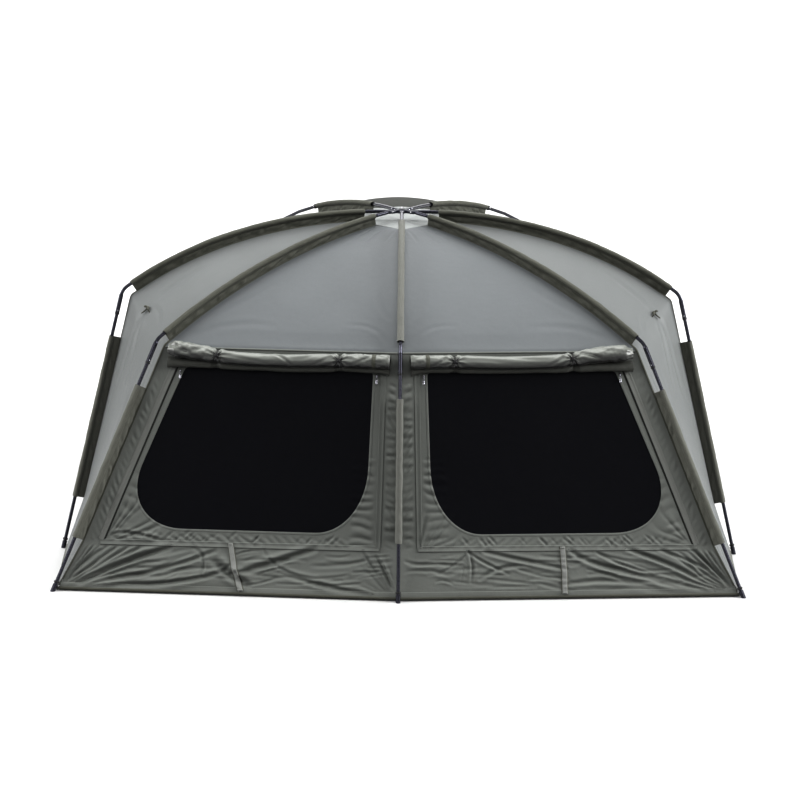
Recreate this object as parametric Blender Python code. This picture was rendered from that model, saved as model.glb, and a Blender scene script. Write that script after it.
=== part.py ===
"""Seven-pole hub bivvy tent: external poles in sleeves, roof and wall panels, two front windows.

Metres, +Z up, the ground at zero. -Y is the front, +X the right seen from the front.
Every pole lies in a vertical plane through the hub, so its line is drawn as (radius, height),
and all the shapes are drawn about the hub's axis before they move to their place.
"""

import math

import bmesh
import bpy
from mathutils import Vector

# Driving dimensions
HUB_HEIGHT = 2.0
HUB_PLACE = Vector((0.0, -0.1289, 0.0))
HUB_ARM_START = 0.100
POLE_RADIUS = 0.010
SOCKET_RADIUS = 0.0125
SOCKET_LENGTH = 0.14
ELBOW_RADIUS = 0.09
FOOT_RADIUS = 0.0135
FOOT_LENGTH = 0.045
POLE_SIDES = 12
SLEEVE_SIDES = 8
ROOF_STEPS = 8
ELBOW_STEPS = 5
FABRIC = 0.003
FIN_DEPTH = 0.055
SEAM_GAP = 0.0003
CROWN_MARGIN = 0.010
LEG_SLEEVE_START = 0.285
LEG_SLEEVE_STOP = 0.33
HEM_OFFSET = 0.020
HOLLOW = {"rear": -0.44}
USUAL_HOLLOW = 0.10

# Azimuth from the front, corner radius and height, foot radius, slope at the hub and at the corner,
# and the radii at which the roof sleeve starts and ends
POLES = {
    "front_centre": (0.0, 1.17, 1.39, 1.50, -10.0, -46.0, 0.235, 1.14),
    "front_right": (55.4, 1.690, 1.386, 2.387, -8.0, -34.0, 0.20, 1.643),
    "side_right": (75.0, 1.7165, 1.577, 2.112, 3.0, -34.5, 0.235, 1.663),
    "rear_right": (150.0, 1.70, 1.71, 2.03, 2.0, -21.0, 0.36, 1.11),
    "rear_left": (-150.0, 1.70, 1.71, 2.03, 2.0, -21.0, 0.36, 1.11),
    "side_left": (-75.0, 1.7165, 1.577, 2.112, 3.0, -34.5, 0.235, 1.663),
    "front_left": (-55.4, 1.690, 1.386, 2.387, -8.0, -34.0, 0.20, 1.643),
}

# Panel name, then the pole at its first edge and the pole at its second, anticlockwise from above
PANELS = {
    "front_right": ("front_centre", "front_right"),
    "side_right": ("front_right", "side_right"),
    "rear_side_right": ("side_right", "rear_right"),
    "rear": ("rear_right", "rear_left"),
    "rear_side_left": ("rear_left", "side_left"),
    "side_left": ("side_left", "front_left"),
    "front_left": ("front_left", "front_centre"),
}
WINDOW_PANELS = ("front_left", "front_right")

# Window outline on a front wall: across is 0 at the centre pole, down is 0 at the roof seam
WINDOW_INNER = 0.105
WINDOW_OUTER_TOP = 0.877
WINDOW_OUTER_LOW = 0.905
WINDOW_HEAD = 0.085
WINDOW_SILL = 0.748
INNER_CORNER = (0.16, 0.27)
OUTER_CORNER = (0.21, 0.25)
CORNER_STEPS = 5

# Rolled window covers and peg straps
ROLL_RADIUS = 0.046
ROLL_TIES = (0.21, 0.79)
COVER_ENDS = (0.035, 0.955)
COVER_DOWN = 0.045
STRAP_WIDTH = 0.025
STRAP_THICK = 0.004
STRAP_ACROSS = {"front_left": (0.530, 0.460), "front_right": (0.516, 0.487)}
STRAP_TOP = 0.785
STRAP_BOTTOM = 0.985

MATERIALS = {
    "roof_fabric": ((0.30, 0.32, 0.33), 0.55, 0.0),
    "wall_fabric": ((0.115, 0.12, 0.11), 0.75, 0.0),
    "sleeve_fabric": ((0.055, 0.056, 0.045), 0.8, 0.0),
    "crown_fabric": ((0.48, 0.50, 0.47), 0.6, 0.0),
    "mesh": ((0.006, 0.006, 0.008), 0.9, 0.0),
    "pole_metal": ((0.045, 0.045, 0.055), 0.3, 0.9),
    "hub_plastic": ((0.02, 0.02, 0.03), 0.45, 0.0),
    "webbing": ((0.12, 0.125, 0.12), 0.8, 0.0),
}


def clear_scene():
    for thing in list(bpy.data.objects):
        bpy.data.objects.remove(thing, do_unlink=True)


def material(name):
    made = bpy.data.materials.get(name)
    if made:
        return made
    colour, roughness, metallic = MATERIALS[name]
    made = bpy.data.materials.new(name)
    made.use_nodes = True
    shader = made.node_tree.nodes["Principled BSDF"]
    shader.inputs["Base Color"].default_value = (*colour, 1.0)
    shader.inputs["Roughness"].default_value = roughness
    shader.inputs["Metallic"].default_value = metallic
    return made


def add_object(name, vertices, faces, finish, smooth_angle=None):
    """One closed mesh object, its faces made into triangles that point outwards."""
    mesh = bpy.data.meshes.new(name)
    mesh.from_pydata([tuple(Vector(v) + HUB_PLACE) for v in vertices], [], faces)
    work = bmesh.new()
    work.from_mesh(mesh)
    bmesh.ops.triangulate(work, faces=work.faces[:])
    bmesh.ops.recalc_face_normals(work, faces=work.faces[:])
    work.to_mesh(mesh)
    work.free()
    mesh.materials.append(material(finish))
    if smooth_angle:
        mesh.shade_smooth()
        mesh.set_sharp_from_angle(angle=math.radians(smooth_angle))
    thing = bpy.data.objects.new(name, mesh)
    bpy.context.scene.collection.objects.link(thing)
    return thing


def slope(degrees):
    """Unit direction, outwards along the radius and upwards, of a line at that slope."""
    return Vector((math.cos(math.radians(degrees)), math.sin(math.radians(degrees))))


def outer_side(direction):
    """Unit normal in the pole's plane, on the side away from the inside of the tent."""
    return Vector((-direction.y, direction.x)).normalized()


def in_space(azimuth, flat, sideways=0.0):
    """The point at (radius, height) in the vertical plane of a pole, moved sideways from that plane."""
    angle = math.radians(azimuth)
    out = Vector((math.sin(angle), -math.cos(angle), 0.0))
    side = Vector((math.cos(angle), math.sin(angle), 0.0))
    return out * flat.x + side * sideways + Vector((0.0, 0.0, flat.y))


class PoleLine:
    """The axis of one pole: a curved roof length, an elbow and a straight leg."""

    def __init__(self, name):
        self.azimuth, radius, height, foot, start, end, sleeve_start, sleeve_end = POLES[name]
        self.sleeve_radii = (sleeve_start, sleeve_end)
        self.crown_radius = sleeve_start - CROWN_MARGIN
        self.start = Vector((HUB_ARM_START, HUB_HEIGHT))
        self.corner = Vector((radius, height))
        self.foot = Vector((foot, 0.0))
        self.roof_end_dir = slope(end)
        self.leg_dir = (self.foot - self.corner).normalized()
        turn = self.roof_end_dir.angle(self.leg_dir)
        self.tangent = ELBOW_RADIUS * math.tan(turn / 2)
        self.turn = turn
        roof_end = self.corner - self.roof_end_dir * self.tangent
        reach = (roof_end - self.start).length / 3
        self.handles = (
            self.start,
            self.start + slope(start) * reach,
            roof_end - self.roof_end_dir * reach,
            roof_end,
        )

    def roof(self, t):
        """Point and direction on the roof curve, from 0 at the hub to 1 at the elbow."""
        a, b, c, d = self.handles
        s = 1 - t
        point = a * s**3 + b * (3 * s * s * t) + c * (3 * s * t * t) + d * t**3
        way = (b - a) * s * s + (c - b) * (2 * s * t) + (d - c) * t * t
        return point, way.normalized()

    def roof_at_radius(self, radius):
        """The share t of the roof curve at which it is that far from the hub's axis."""
        low, high = 0.0, 1.0
        for _ in range(40):
            middle = (low + high) / 2
            if self.roof(middle)[0].x < radius:
                low = middle
            else:
                high = middle
        return low

    def elbow(self, share):
        """Point and direction on the elbow, from 0 at the roof to 1 at the leg."""
        begin = self.corner - self.roof_end_dir * self.tangent
        centre = begin - outer_side(self.roof_end_dir) * ELBOW_RADIUS
        angle = math.atan2(self.roof_end_dir.y, self.roof_end_dir.x) - self.turn * share
        way = Vector((math.cos(angle), math.sin(angle)))
        return centre + outer_side(way) * ELBOW_RADIUS, way

    def leg(self, below):
        """Point on the leg, a distance below the corner."""
        return self.corner + self.leg_dir * below

    def leg_length(self):
        return (self.foot - self.corner).length

    def fabric_roof(self, t):
        point, way = self.roof(t)
        return point - outer_side(way) * FIN_DEPTH

    def fabric_corner(self):
        """Where the roof's fabric line and the wall's fabric line meet, inside the elbow."""
        roof_side = outer_side(self.roof_end_dir)
        leg_side = outer_side(self.leg_dir)
        bisector = (roof_side + leg_side).normalized()
        return self.corner - bisector * (FIN_DEPTH / bisector.dot(leg_side))

    def fabric_wall(self, down):
        """Fabric line beside the leg, from 0 at the roof seam to 1 at the ground."""
        top = self.fabric_corner()
        knee = self.leg(self.leg_length() - LEG_SLEEVE_STOP)
        knee = knee - outer_side(self.leg_dir) * FIN_DEPTH
        hem = Vector((self.foot.x - HEM_OFFSET, 0.0))
        knee_down = 1 - knee.y / top.y
        if down < knee_down:
            return top.lerp(knee, down / knee_down)
        return knee.lerp(hem, (down - knee_down) / (1 - knee_down))


LINES = {name: PoleLine(name) for name in POLES}


def swept_tube(name, azimuth, stations, finish, flat_foot=False):
    """A round bar through stations of (point, direction, radius) in one pole's plane."""
    vertices = []
    for index, (point, way, radius) in enumerate(stations):
        up = outer_side(way)
        for side in range(POLE_SIDES):
            angle = 2 * math.pi * (side + 0.5) / POLE_SIDES
            flat = point + up * (radius * math.cos(angle))
            if flat_foot and index == len(stations) - 1:
                flat = flat - way * (flat.y / way.y)
            vertices.append(in_space(azimuth, flat, radius * math.sin(angle)))
    faces = []
    for row in range(len(stations) - 1):
        for side in range(POLE_SIDES):
            after = (side + 1) % POLE_SIDES
            low, high = row * POLE_SIDES, (row + 1) * POLE_SIDES
            faces.append((low + side, low + after, high + after, high + side))
    faces.append(tuple(range(POLE_SIDES)))
    faces.append(tuple(range((len(stations) - 1) * POLE_SIDES, len(stations) * POLE_SIDES)))
    return add_object(name, vertices, faces, finish, smooth_angle=50)


def sleeve_shares(line):
    """Where a roof sleeve's sections stand along the roof curve: the pole has the same ones."""
    first, last = (line.roof_at_radius(radius) for radius in line.sleeve_radii)
    return [first + (last - first) * step / ROOF_STEPS for step in range(ROOF_STEPS + 1)]


def make_roof_pole(name):
    """Curved roof length with its elbow and the socket that takes the leg."""
    line = LINES[name]
    stations = [(line.start, slope(0), POLE_RADIUS)]
    shares = sleeve_shares(line)
    if line.sleeve_radii[1] < line.corner.x - 0.2:
        shares.append((shares[-1] + 1) / 2)
    for share in shares + [1.0]:
        point, way = line.roof(share)
        stations.append((point, way, POLE_RADIUS))
    for step in range(1, ELBOW_STEPS + 1):
        point, way = line.elbow(step / ELBOW_STEPS)
        stations.append((point, way, POLE_RADIUS if step < ELBOW_STEPS else SOCKET_RADIUS))
    stations.append((line.leg(SOCKET_LENGTH), line.leg_dir, SOCKET_RADIUS))
    swept_tube("roof_pole_" + name, line.azimuth, stations, "pole_metal")


def make_leg_pole(name):
    """Straight leg below the socket, with a wider foot cap cut level with the ground."""
    line = LINES[name]
    length = line.leg_length()
    cap_start = length - FOOT_LENGTH
    cap_chamfer = 0.004
    stations = [
        (line.leg(SOCKET_LENGTH + SEAM_GAP), line.leg_dir, POLE_RADIUS),
        (line.leg(cap_start), line.leg_dir, POLE_RADIUS),
        (line.leg(cap_start + cap_chamfer), line.leg_dir, FOOT_RADIUS),
        (line.leg(length), line.leg_dir, FOOT_RADIUS),
    ]
    swept_tube("leg_pole_" + name, line.azimuth, stations, "pole_metal", flat_foot=True)


def sleeve_loops():
    """A sleeve's section as (outwards, sideways): the fin's foot, its flat oval ring and the hole."""
    half_wide, half_high = 0.019, 0.0145
    hole_wide, hole_high = 0.0165, 0.0115
    fin = FABRIC / 2
    root = -half_high * math.sqrt(1 - (fin / half_wide) ** 2)
    foot = -FIN_DEPTH - FABRIC / 2
    ring = [(root, -fin)]
    for step in range(1, SLEEVE_SIDES - 1):
        angle = 2 * math.pi * step / (SLEEVE_SIDES - 1)
        ring.append((-half_high * math.cos(angle), -half_wide * math.sin(angle)))
    ring.append((root, fin))
    hole = []
    for step in range(SLEEVE_SIDES):
        angle = 2 * math.pi * (step + 0.5) / SLEEVE_SIDES
        hole.append((-hole_high * math.cos(angle), -hole_wide * math.sin(angle)))
    return [(foot, -fin), (foot, fin)], ring, hole


def swept_sleeve(name, azimuth, stations):
    """A sleeve round a pole, through stations of (point, direction)."""
    foot, ring, hole = sleeve_loops()
    size = SLEEVE_SIDES
    per_station = 2 + 2 * size
    vertices = []
    for point, way in stations:
        up = outer_side(way)
        for rise, sideways in foot + ring + hole:
            vertices.append(in_space(azimuth, point + up * rise, sideways))
    outside = [0] + [2 + step for step in range(size)] + [1]
    inside = [2 + size + step for step in range(size)]
    faces = []
    for row in range(len(stations) - 1):
        low, high = row * per_station, (row + 1) * per_station
        for loop in (outside, inside):
            for step, here in enumerate(loop):
                there = loop[(step + 1) % len(loop)]
                faces.append((low + here, low + there, high + there, high + here))
    for row in (0, len(stations) - 1):
        base = row * per_station
        faces.append((base, base + 2, base + 1 + size, base + 1))
        for step in range(size):
            after = (step + 1) % size
            faces.append((base + 2 + step, base + 2 + after, base + inside[after], base + inside[step]))
    add_object(name, vertices, faces, "sleeve_fabric", smooth_angle=50)


def make_roof_sleeve(name):
    line = LINES[name]
    stations = [line.roof(share) for share in sleeve_shares(line)]
    swept_sleeve("roof_sleeve_" + name, line.azimuth, stations)


def make_leg_sleeve(name):
    line = LINES[name]
    ends = (LEG_SLEEVE_START, line.leg_length() - LEG_SLEEVE_STOP)
    stations = [(line.leg(below), line.leg_dir) for below in ends]
    swept_sleeve("leg_sleeve_" + name, line.azimuth, stations)


def edge_point(name, flat, towards_next):
    """A panel's edge beside a fin: just clear of it, on the side of the next or the last pole."""
    clear = FABRIC / 2 + SEAM_GAP
    return in_space(LINES[name].azimuth, flat, clear if towards_next else -clear)


def panel_point(panel, across, down):
    """A panel's middle surface: down runs 0 to 1 over the roof and 1 to 2 down the wall."""
    first, second = PANELS[panel]
    ends = []
    for name, towards_next in ((first, True), (second, False)):
        line = LINES[name]
        if down < 1:
            begin = line.roof_at_radius(line.crown_radius)
            flat = line.fabric_roof(begin + (1 - begin) * down).lerp(
                line.fabric_corner(), max(0.0, 10 * down - 9))
        else:
            flat = line.fabric_wall(down - 1)
        ends.append(edge_point(name, flat, towards_next))
    point = ends[0].lerp(ends[1], across)
    if down < 1:
        depth = HOLLOW.get(panel, USUAL_HOLLOW) * math.sin(math.pi * down) * (ends[1] - ends[0]).length
        point.z -= depth * across * (1 - across)
    else:
        point.z += 2 * FABRIC * (down - 1)
    return point


def panel_normal(panel, across, down, low=0.0, high=2.0):
    """Outward unit normal, upright at the crown and shared by roof and wall where they meet."""
    if down <= 0.0:
        return Vector((0.0, 0.0, 1.0))
    step = 0.004
    if abs(down - 1) < 1e-6:
        above = panel_normal(panel, across, 1 - 2 * step)
        below = panel_normal(panel, across, 1 + 2 * step)
        return (above + below).normalized() / math.cos(above.angle(below) / 2)
    left, right = max(across - step, 0.0), min(across + step, 1.0)
    top, foot = max(down - step, low), min(down + step, high)
    over = panel_point(panel, right, down) - panel_point(panel, left, down)
    along = panel_point(panel, across, foot) - panel_point(panel, across, top)
    return along.cross(over).normalized()


def seam_shift(panel, across, down):
    """A step of just over half the seam gap along the panel, away from the crown or the seam."""
    step = 0.004
    ahead = panel_point(panel, across, min(down + step, 2.0))
    behind = panel_point(panel, across, max(down - step, 0.0))
    return (ahead - behind).normalized() * (SEAM_GAP * 0.75)


def held_off_fins(panel, point, across):
    """The point moved straight sideways so that a panel's edge stays parallel to the fin it meets."""
    first, second = PANELS[panel]
    clear = FABRIC / 2 + SEAM_GAP
    for end, name, offset in ((0.0, first, clear), (1.0, second, -clear)):
        if abs(across - end) < 1e-6:
            side = in_space(LINES[name].azimuth, Vector((0.0, 0.0)), 1.0)
            point = point + side * (offset - point.dot(side))
    return point


def flat_plate(columns, rows):
    """A closed plate on the unit square, a unit thick, cut into columns and rows."""
    work = bmesh.new()
    corners = {}
    for level in (-0.5, 0.5):
        for i, across in enumerate(columns):
            for j, down in enumerate(rows):
                corners[level, i, j] = work.verts.new((across, down, level))
    last_i, last_j = len(columns) - 1, len(rows) - 1
    for i in range(last_i):
        for j in range(last_j):
            for level in (-0.5, 0.5):
                ring = [(i, j), (i + 1, j), (i + 1, j + 1), (i, j + 1)]
                work.faces.new([corners[level, *at] for at in ring])
    for i in range(last_i):
        for j in (0, last_j):
            ends = [(-0.5, i, j), (-0.5, i + 1, j), (0.5, i + 1, j), (0.5, i, j)]
            work.faces.new([corners[at] for at in ends])
    for j in range(last_j):
        for i in (0, last_i):
            ends = [(-0.5, i, j), (-0.5, i, j + 1), (0.5, i, j + 1), (0.5, i, j)]
            work.faces.new([corners[at] for at in ends])
    bmesh.ops.recalc_face_normals(work, faces=work.faces[:])
    mesh = bpy.data.meshes.new("plate")
    work.to_mesh(mesh)
    work.free()
    return mesh


def prism(outline):
    """A closed prism over an outline on the unit square, longer than the plate is thick."""
    count = len(outline)
    vertices = [(x, y, -1.0) for x, y in outline] + [(x, y, 1.0) for x, y in outline]
    faces = [tuple(range(count)), tuple(range(count, 2 * count))]
    faces += [(k, (k + 1) % count, count + (k + 1) % count, count + k) for k in range(count)]
    mesh = bpy.data.meshes.new("prism")
    mesh.from_pydata(vertices, [], faces)
    work = bmesh.new()
    work.from_mesh(mesh)
    bmesh.ops.recalc_face_normals(work, faces=work.faces[:])
    work.to_mesh(mesh)
    work.free()
    return mesh


def trimmed(plate, outline, operation):
    """The plate cut by, or kept inside, the outline's prism."""
    base = bpy.data.objects.new("base", plate)
    tool = bpy.data.objects.new("tool", prism(outline))
    for thing in (base, tool):
        bpy.context.scene.collection.objects.link(thing)
    cut = base.modifiers.new("cut", "BOOLEAN")
    cut.object = tool
    cut.operation = operation
    bpy.context.view_layer.update()
    evaluated = base.evaluated_get(bpy.context.evaluated_depsgraph_get())
    mesh = bpy.data.meshes.new_from_object(evaluated)
    for thing in (base, tool):
        bpy.data.objects.remove(thing, do_unlink=True)
    return mesh


def add_panel(name, panel, plate, thickness, finish, down_from=0.0, down_to=2.0):
    """A flat plate laid on a panel: its third coordinate becomes the cloth's thickness."""
    vertices = []
    for vertex in plate.vertices:
        across, share, level = vertex.co
        down = down_from + (down_to - down_from) * share
        point = panel_point(panel, across, down)
        point = point + panel_normal(panel, across, down) * (level * thickness)
        if share < 1e-6:
            point = point + seam_shift(panel, across, down)
        if share > 1 - 1e-6 and down < 1.5:
            point = point - seam_shift(panel, across, down)
        vertices.append(held_off_fins(panel, point, across))
    faces = [tuple(face.vertices) for face in plate.polygons]
    return add_object(name, vertices, faces, finish, smooth_angle=40)


def even(count):
    return [step / count for step in range(count + 1)]


def corner_arc(centre, size, first, last):
    """Points along a quarter of an ellipse, ends included, in the (across, down) square."""
    points = []
    for step in range(CORNER_STEPS + 1):
        angle = math.radians(first + (last - first) * step / CORNER_STEPS)
        points.append((centre[0] + size[0] * math.cos(angle), centre[1] + size[1] * math.sin(angle)))
    return points


def window_outline(grow=0.0):
    """The window's outline on the front right wall, optionally larger all round."""
    inner, outer = WINDOW_INNER - grow, WINDOW_OUTER_LOW + grow
    sill = WINDOW_SILL + grow
    low_inner = (inner + INNER_CORNER[0], sill - INNER_CORNER[1])
    low_outer = (outer - OUTER_CORNER[0], sill - OUTER_CORNER[1])
    points = [(WINDOW_OUTER_TOP + grow, WINDOW_HEAD - grow), (inner, WINDOW_HEAD - grow)]
    points += corner_arc(low_inner, INNER_CORNER, 180, 90)
    points += corner_arc(low_outer, OUTER_CORNER, 90, 0)
    return points


def on_panel(panel, outline):
    """The outline as the panel's own (across, down): the left panel runs towards the centre pole."""
    if panel == "front_left":
        return [(1 - across, down) for across, down in outline]
    return outline


def make_front(panel):
    """A front roof panel, and the wall below it with its window cut through and meshed."""
    add_panel("roof_" + panel, panel, flat_plate(even(4), even(6)), FABRIC, "roof_fabric", 0.0, 1.0)
    rows = [0.0, 0.26, 0.52, STRAP_TOP, 1.0]
    wall = trimmed(flat_plate(even(4), rows), on_panel(panel, window_outline()), "DIFFERENCE")
    add_panel("wall_" + panel, panel, wall, FABRIC, "wall_fabric", 1.0, 2.0)
    inset = -0.0004
    mesh = trimmed(flat_plate(even(4), rows), on_panel(panel, window_outline(inset)), "INTERSECT")
    add_panel("window_mesh_" + panel, panel, mesh, FABRIC / 2, "mesh", 1.0, 2.0)


def make_gore(panel):
    """One cloth from the crown over the shoulder and down to the ground."""
    columns = 2 if panel in ("side_left", "side_right") else 4
    rows = [step / 12 for step in range(7)] + [0.5 + step * 0.1 for step in range(1, 5)] + [1.0]
    add_panel("gore_" + panel, panel, flat_plate(even(columns), rows), FABRIC, "roof_fabric")


def make_crown():
    """The reinforcing patch under the hub, one edge for each panel that is sewn to it."""
    outline = []
    for name in POLES:
        line = LINES[name]
        flat = line.fabric_roof(line.roof_at_radius(line.crown_radius))
        for sideways in (-1, 1):
            outline.append(in_space(line.azimuth, flat, sideways * (FABRIC / 2 + SEAM_GAP)))
    count = len(outline)
    vertices = []
    for lift in (-FABRIC / 2, FABRIC / 2):
        vertices += [point + Vector((0.0, 0.0, lift)) for point in outline]
        vertices.append(Vector((0.0, 0.0, HUB_HEIGHT - FIN_DEPTH + lift)))
    faces = []
    for step in range(count):
        after = (step + 1) % count
        faces.append((step, after, count))
        faces.append((count + 1 + step, count + 1 + after, 2 * count + 1))
        faces.append((step, after, count + 1 + after, count + 1 + step))
    add_object("crown_patch", vertices, faces, "crown_fabric")


def turned(name, profile, sides, finish):
    """A solid of revolution about the hub's axis, from (radius, height) read bottom to top."""
    vertices = []
    for radius, height in profile:
        for side in range(sides):
            angle = 2 * math.pi * side / sides
            vertices.append((radius * math.cos(angle), radius * math.sin(angle), height))
    faces = [tuple(range(sides)), tuple(range((len(profile) - 1) * sides, len(profile) * sides))]
    for row in range(len(profile) - 1):
        for side in range(sides):
            after = (side + 1) % sides
            low, high = row * sides, (row + 1) * sides
            faces.append((low + side, low + after, high + after, high + side))
    return add_object(name, vertices, faces, finish, smooth_angle=40)


def make_hub():
    """A flat boss with one fork arm for each pole, and a domed pin on top."""
    boss_radius, boss_half = 0.034, 0.013
    stem_radius, stem_bottom = 0.009, HUB_HEIGHT - FIN_DEPTH + FABRIC / 2 + 2 * SEAM_GAP
    base, top = HUB_HEIGHT - boss_half, HUB_HEIGHT + boss_half
    profile = [
        (stem_radius, stem_bottom),
        (stem_radius, base - 0.004),
        (boss_radius * 0.6, base),
        (boss_radius, base + 0.004),
        (boss_radius, top - 0.004),
        (boss_radius * 0.7, top),
    ]
    body = turned("hub_body", profile, 14, "hub_plastic")
    arm_end = HUB_ARM_START - SEAM_GAP
    for name in POLES:
        arm = bpy.data.objects.new("arm", arm_mesh(POLES[name][0], boss_radius * 0.5, arm_end))
        arm.location = HUB_PLACE
        bpy.context.scene.collection.objects.link(arm)
        join = body.modifiers.new("join_" + name, "BOOLEAN")
        join.operation = "UNION"
        join.object = arm
        arm.hide_render = True
        arm.display_type = "WIRE"
    pin_profile = [
        (0.013, top + SEAM_GAP),
        (0.013, top + 0.006),
        (0.009, top + 0.011),
        (0.004, top + 0.013),
    ]
    turned("hub_pin", pin_profile, 12, "pole_metal")


def arm_mesh(azimuth, start, end):
    """One fork arm of the hub, tapering slightly to the pole it holds."""
    half_wide, half_high = (0.0085, 0.008), (0.0095, 0.009)
    vertices = []
    for radius, wide, high in ((start, half_wide[0], half_wide[1]), (end, half_high[0], half_high[1])):
        for side, lift in ((-1, -1), (1, -1), (1, 1), (-1, 1)):
            flat = Vector((radius, HUB_HEIGHT + lift * high))
            vertices.append(in_space(azimuth, flat, side * wide))
    faces = [(0, 1, 2, 3), (4, 5, 6, 7)]
    faces += [(k, (k + 1) % 4, 4 + (k + 1) % 4, 4 + k) for k in range(4)]
    mesh = bpy.data.meshes.new("arm")
    mesh.from_pydata([tuple(v) for v in vertices], [], faces)
    work = bmesh.new()
    work.from_mesh(mesh)
    bmesh.ops.recalc_face_normals(work, faces=work.faces[:])
    work.to_mesh(mesh)
    work.free()
    return mesh


def make_cover(panel):
    """The window cover rolled up outside the wall, pinched at its two ties."""
    first_end, last_end = COVER_ENDS
    if panel == "front_left":
        first_end, last_end = 1 - last_end, 1 - first_end
    stations, sides = 14, 10
    vertices = []
    for step in range(stations + 1):
        share = step / stations
        across = first_end + (last_end - first_end) * share
        pinch = min(abs(share - tie) for tie in ROLL_TIES)
        radius = ROLL_RADIUS * (0.78 + 0.22 * min(pinch / 0.09, 1.0))
        normal = panel_normal(panel, across, 1 + COVER_DOWN)
        centre = panel_point(panel, across, 1 + COVER_DOWN)
        centre = centre + normal * (ROLL_RADIUS + FABRIC / 2 + 3 * SEAM_GAP)
        along = panel_point(panel, 1.0, 1 + COVER_DOWN) - panel_point(panel, 0.0, 1 + COVER_DOWN)
        up = along.normalized().cross(normal).normalized()
        for side in range(sides):
            angle = 2 * math.pi * side / sides
            offset = normal * (-math.cos(angle)) + up * math.sin(angle)
            vertices.append(centre + offset * radius)
    faces = [tuple(range(sides)), tuple(range(stations * sides, (stations + 1) * sides))]
    for row in range(stations):
        for side in range(sides):
            after = (side + 1) % sides
            low, high = row * sides, (row + 1) * sides
            faces.append((low + side, low + after, high + after, high + side))
    add_object("window_cover_" + panel, vertices, faces, "wall_fabric", smooth_angle=50)


def make_strap(panel):
    """A webbing peg strap down the outside of the front skirt, slanting towards the centre pole."""
    along = (panel_point(panel, 1.0, 1 + STRAP_TOP) - panel_point(panel, 0.0, 1 + STRAP_TOP)).normalized()
    vertices = []
    for down, share in zip((STRAP_TOP + 0.01, STRAP_BOTTOM), STRAP_ACROSS[panel]):
        across = share if panel == "front_right" else 1 - share
        normal = panel_normal(panel, across, 1 + down)
        inner = FABRIC / 2 + 2 * SEAM_GAP
        for offset in (inner, inner + STRAP_THICK):
            for side in (-0.5, 0.5):
                point = panel_point(panel, across, 1 + down)
                vertices.append(point + along * (side * STRAP_WIDTH) + normal * offset)
    faces = [(0, 1, 3, 2), (4, 5, 7, 6)]
    ring = (0, 1, 3, 2)
    faces += [(ring[k], ring[(k + 1) % 4], ring[(k + 1) % 4] + 4, ring[k] + 4) for k in range(4)]
    add_object("peg_strap_" + panel, vertices, faces, "webbing")


def main():
    clear_scene()
    make_hub()
    make_crown()
    for name in POLES:
        make_roof_pole(name)
        make_leg_pole(name)
        make_roof_sleeve(name)
        make_leg_sleeve(name)
    for panel in PANELS:
        if panel in WINDOW_PANELS:
            make_front(panel)
            make_cover(panel)
            make_strap(panel)
        else:
            make_gore(panel)


main()
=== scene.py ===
"""Looks of the hub bivvy tent: sewn cloth, sleeves, rolled covers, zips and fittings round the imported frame.

Metres, +Z up. Cloth is drawn about the hub's axis on the same pole lines as the frame, then moved to HUB.
"""

import math

import bpy
import numpy as np
from mathutils import Matrix, Vector


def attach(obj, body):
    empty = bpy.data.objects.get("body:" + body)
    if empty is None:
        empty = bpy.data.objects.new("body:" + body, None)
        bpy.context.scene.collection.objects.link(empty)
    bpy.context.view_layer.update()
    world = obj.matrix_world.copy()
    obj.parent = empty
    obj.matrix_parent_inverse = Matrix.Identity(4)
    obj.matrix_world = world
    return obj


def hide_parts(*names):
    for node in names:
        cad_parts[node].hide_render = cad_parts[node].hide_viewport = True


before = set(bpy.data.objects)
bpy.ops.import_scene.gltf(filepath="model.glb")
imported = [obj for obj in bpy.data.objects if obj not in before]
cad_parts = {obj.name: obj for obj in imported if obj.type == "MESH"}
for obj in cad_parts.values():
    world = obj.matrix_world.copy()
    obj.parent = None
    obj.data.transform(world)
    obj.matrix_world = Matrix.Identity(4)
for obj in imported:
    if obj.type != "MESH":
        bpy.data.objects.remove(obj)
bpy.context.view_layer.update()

# The frame's own dimensions
HUB = np.array((0.0, -0.1289, 0.0))
HUB_HEIGHT = 2.0
HUB_ARM_START = 0.100
POLE_RADIUS = 0.010
SOCKET_LENGTH = 0.14
ELBOW_RADIUS = 0.09
FIN_DEPTH = 0.055
CROWN_MARGIN = 0.010
LEG_SLEEVE_START = 0.285
LEG_SLEEVE_STOP = 0.33
HEM_OFFSET = 0.020
HEM_LIFT = 0.006
EDGE_CLEAR = 0.0018
# How far a cloth hangs in over the roof, as a share of its width; below 0 it is full
HOLLOW = {"rear": -0.44}
USUAL_HOLLOW = 0.10

# Azimuth from the front towards the right, corner radius and height, foot radius, slope at the hub and at
# the corner, and the radii at which the roof sleeve starts and ends; the left side mirrors the right
POLE_PAIRS = {
    "front": (55.4, 1.690, 1.386, 2.387, -8.0, -34.0, 0.20, 1.643),
    "side": (75.0, 1.7165, 1.577, 2.112, 3.0, -34.5, 0.235, 1.663),
    "rear": (150.0, 1.70, 1.71, 2.03, 2.0, -21.0, 0.36, 1.11),
}
POLES = {
    "front_centre": (0.0, 1.17, 1.39, 1.50, -10.0, -46.0, 0.235, 1.14),
    **{place + "_right": values for place, values in POLE_PAIRS.items()},
    **{place + "_left": (-values[0], *values[1:]) for place, values in reversed(POLE_PAIRS.items())},
}

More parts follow.
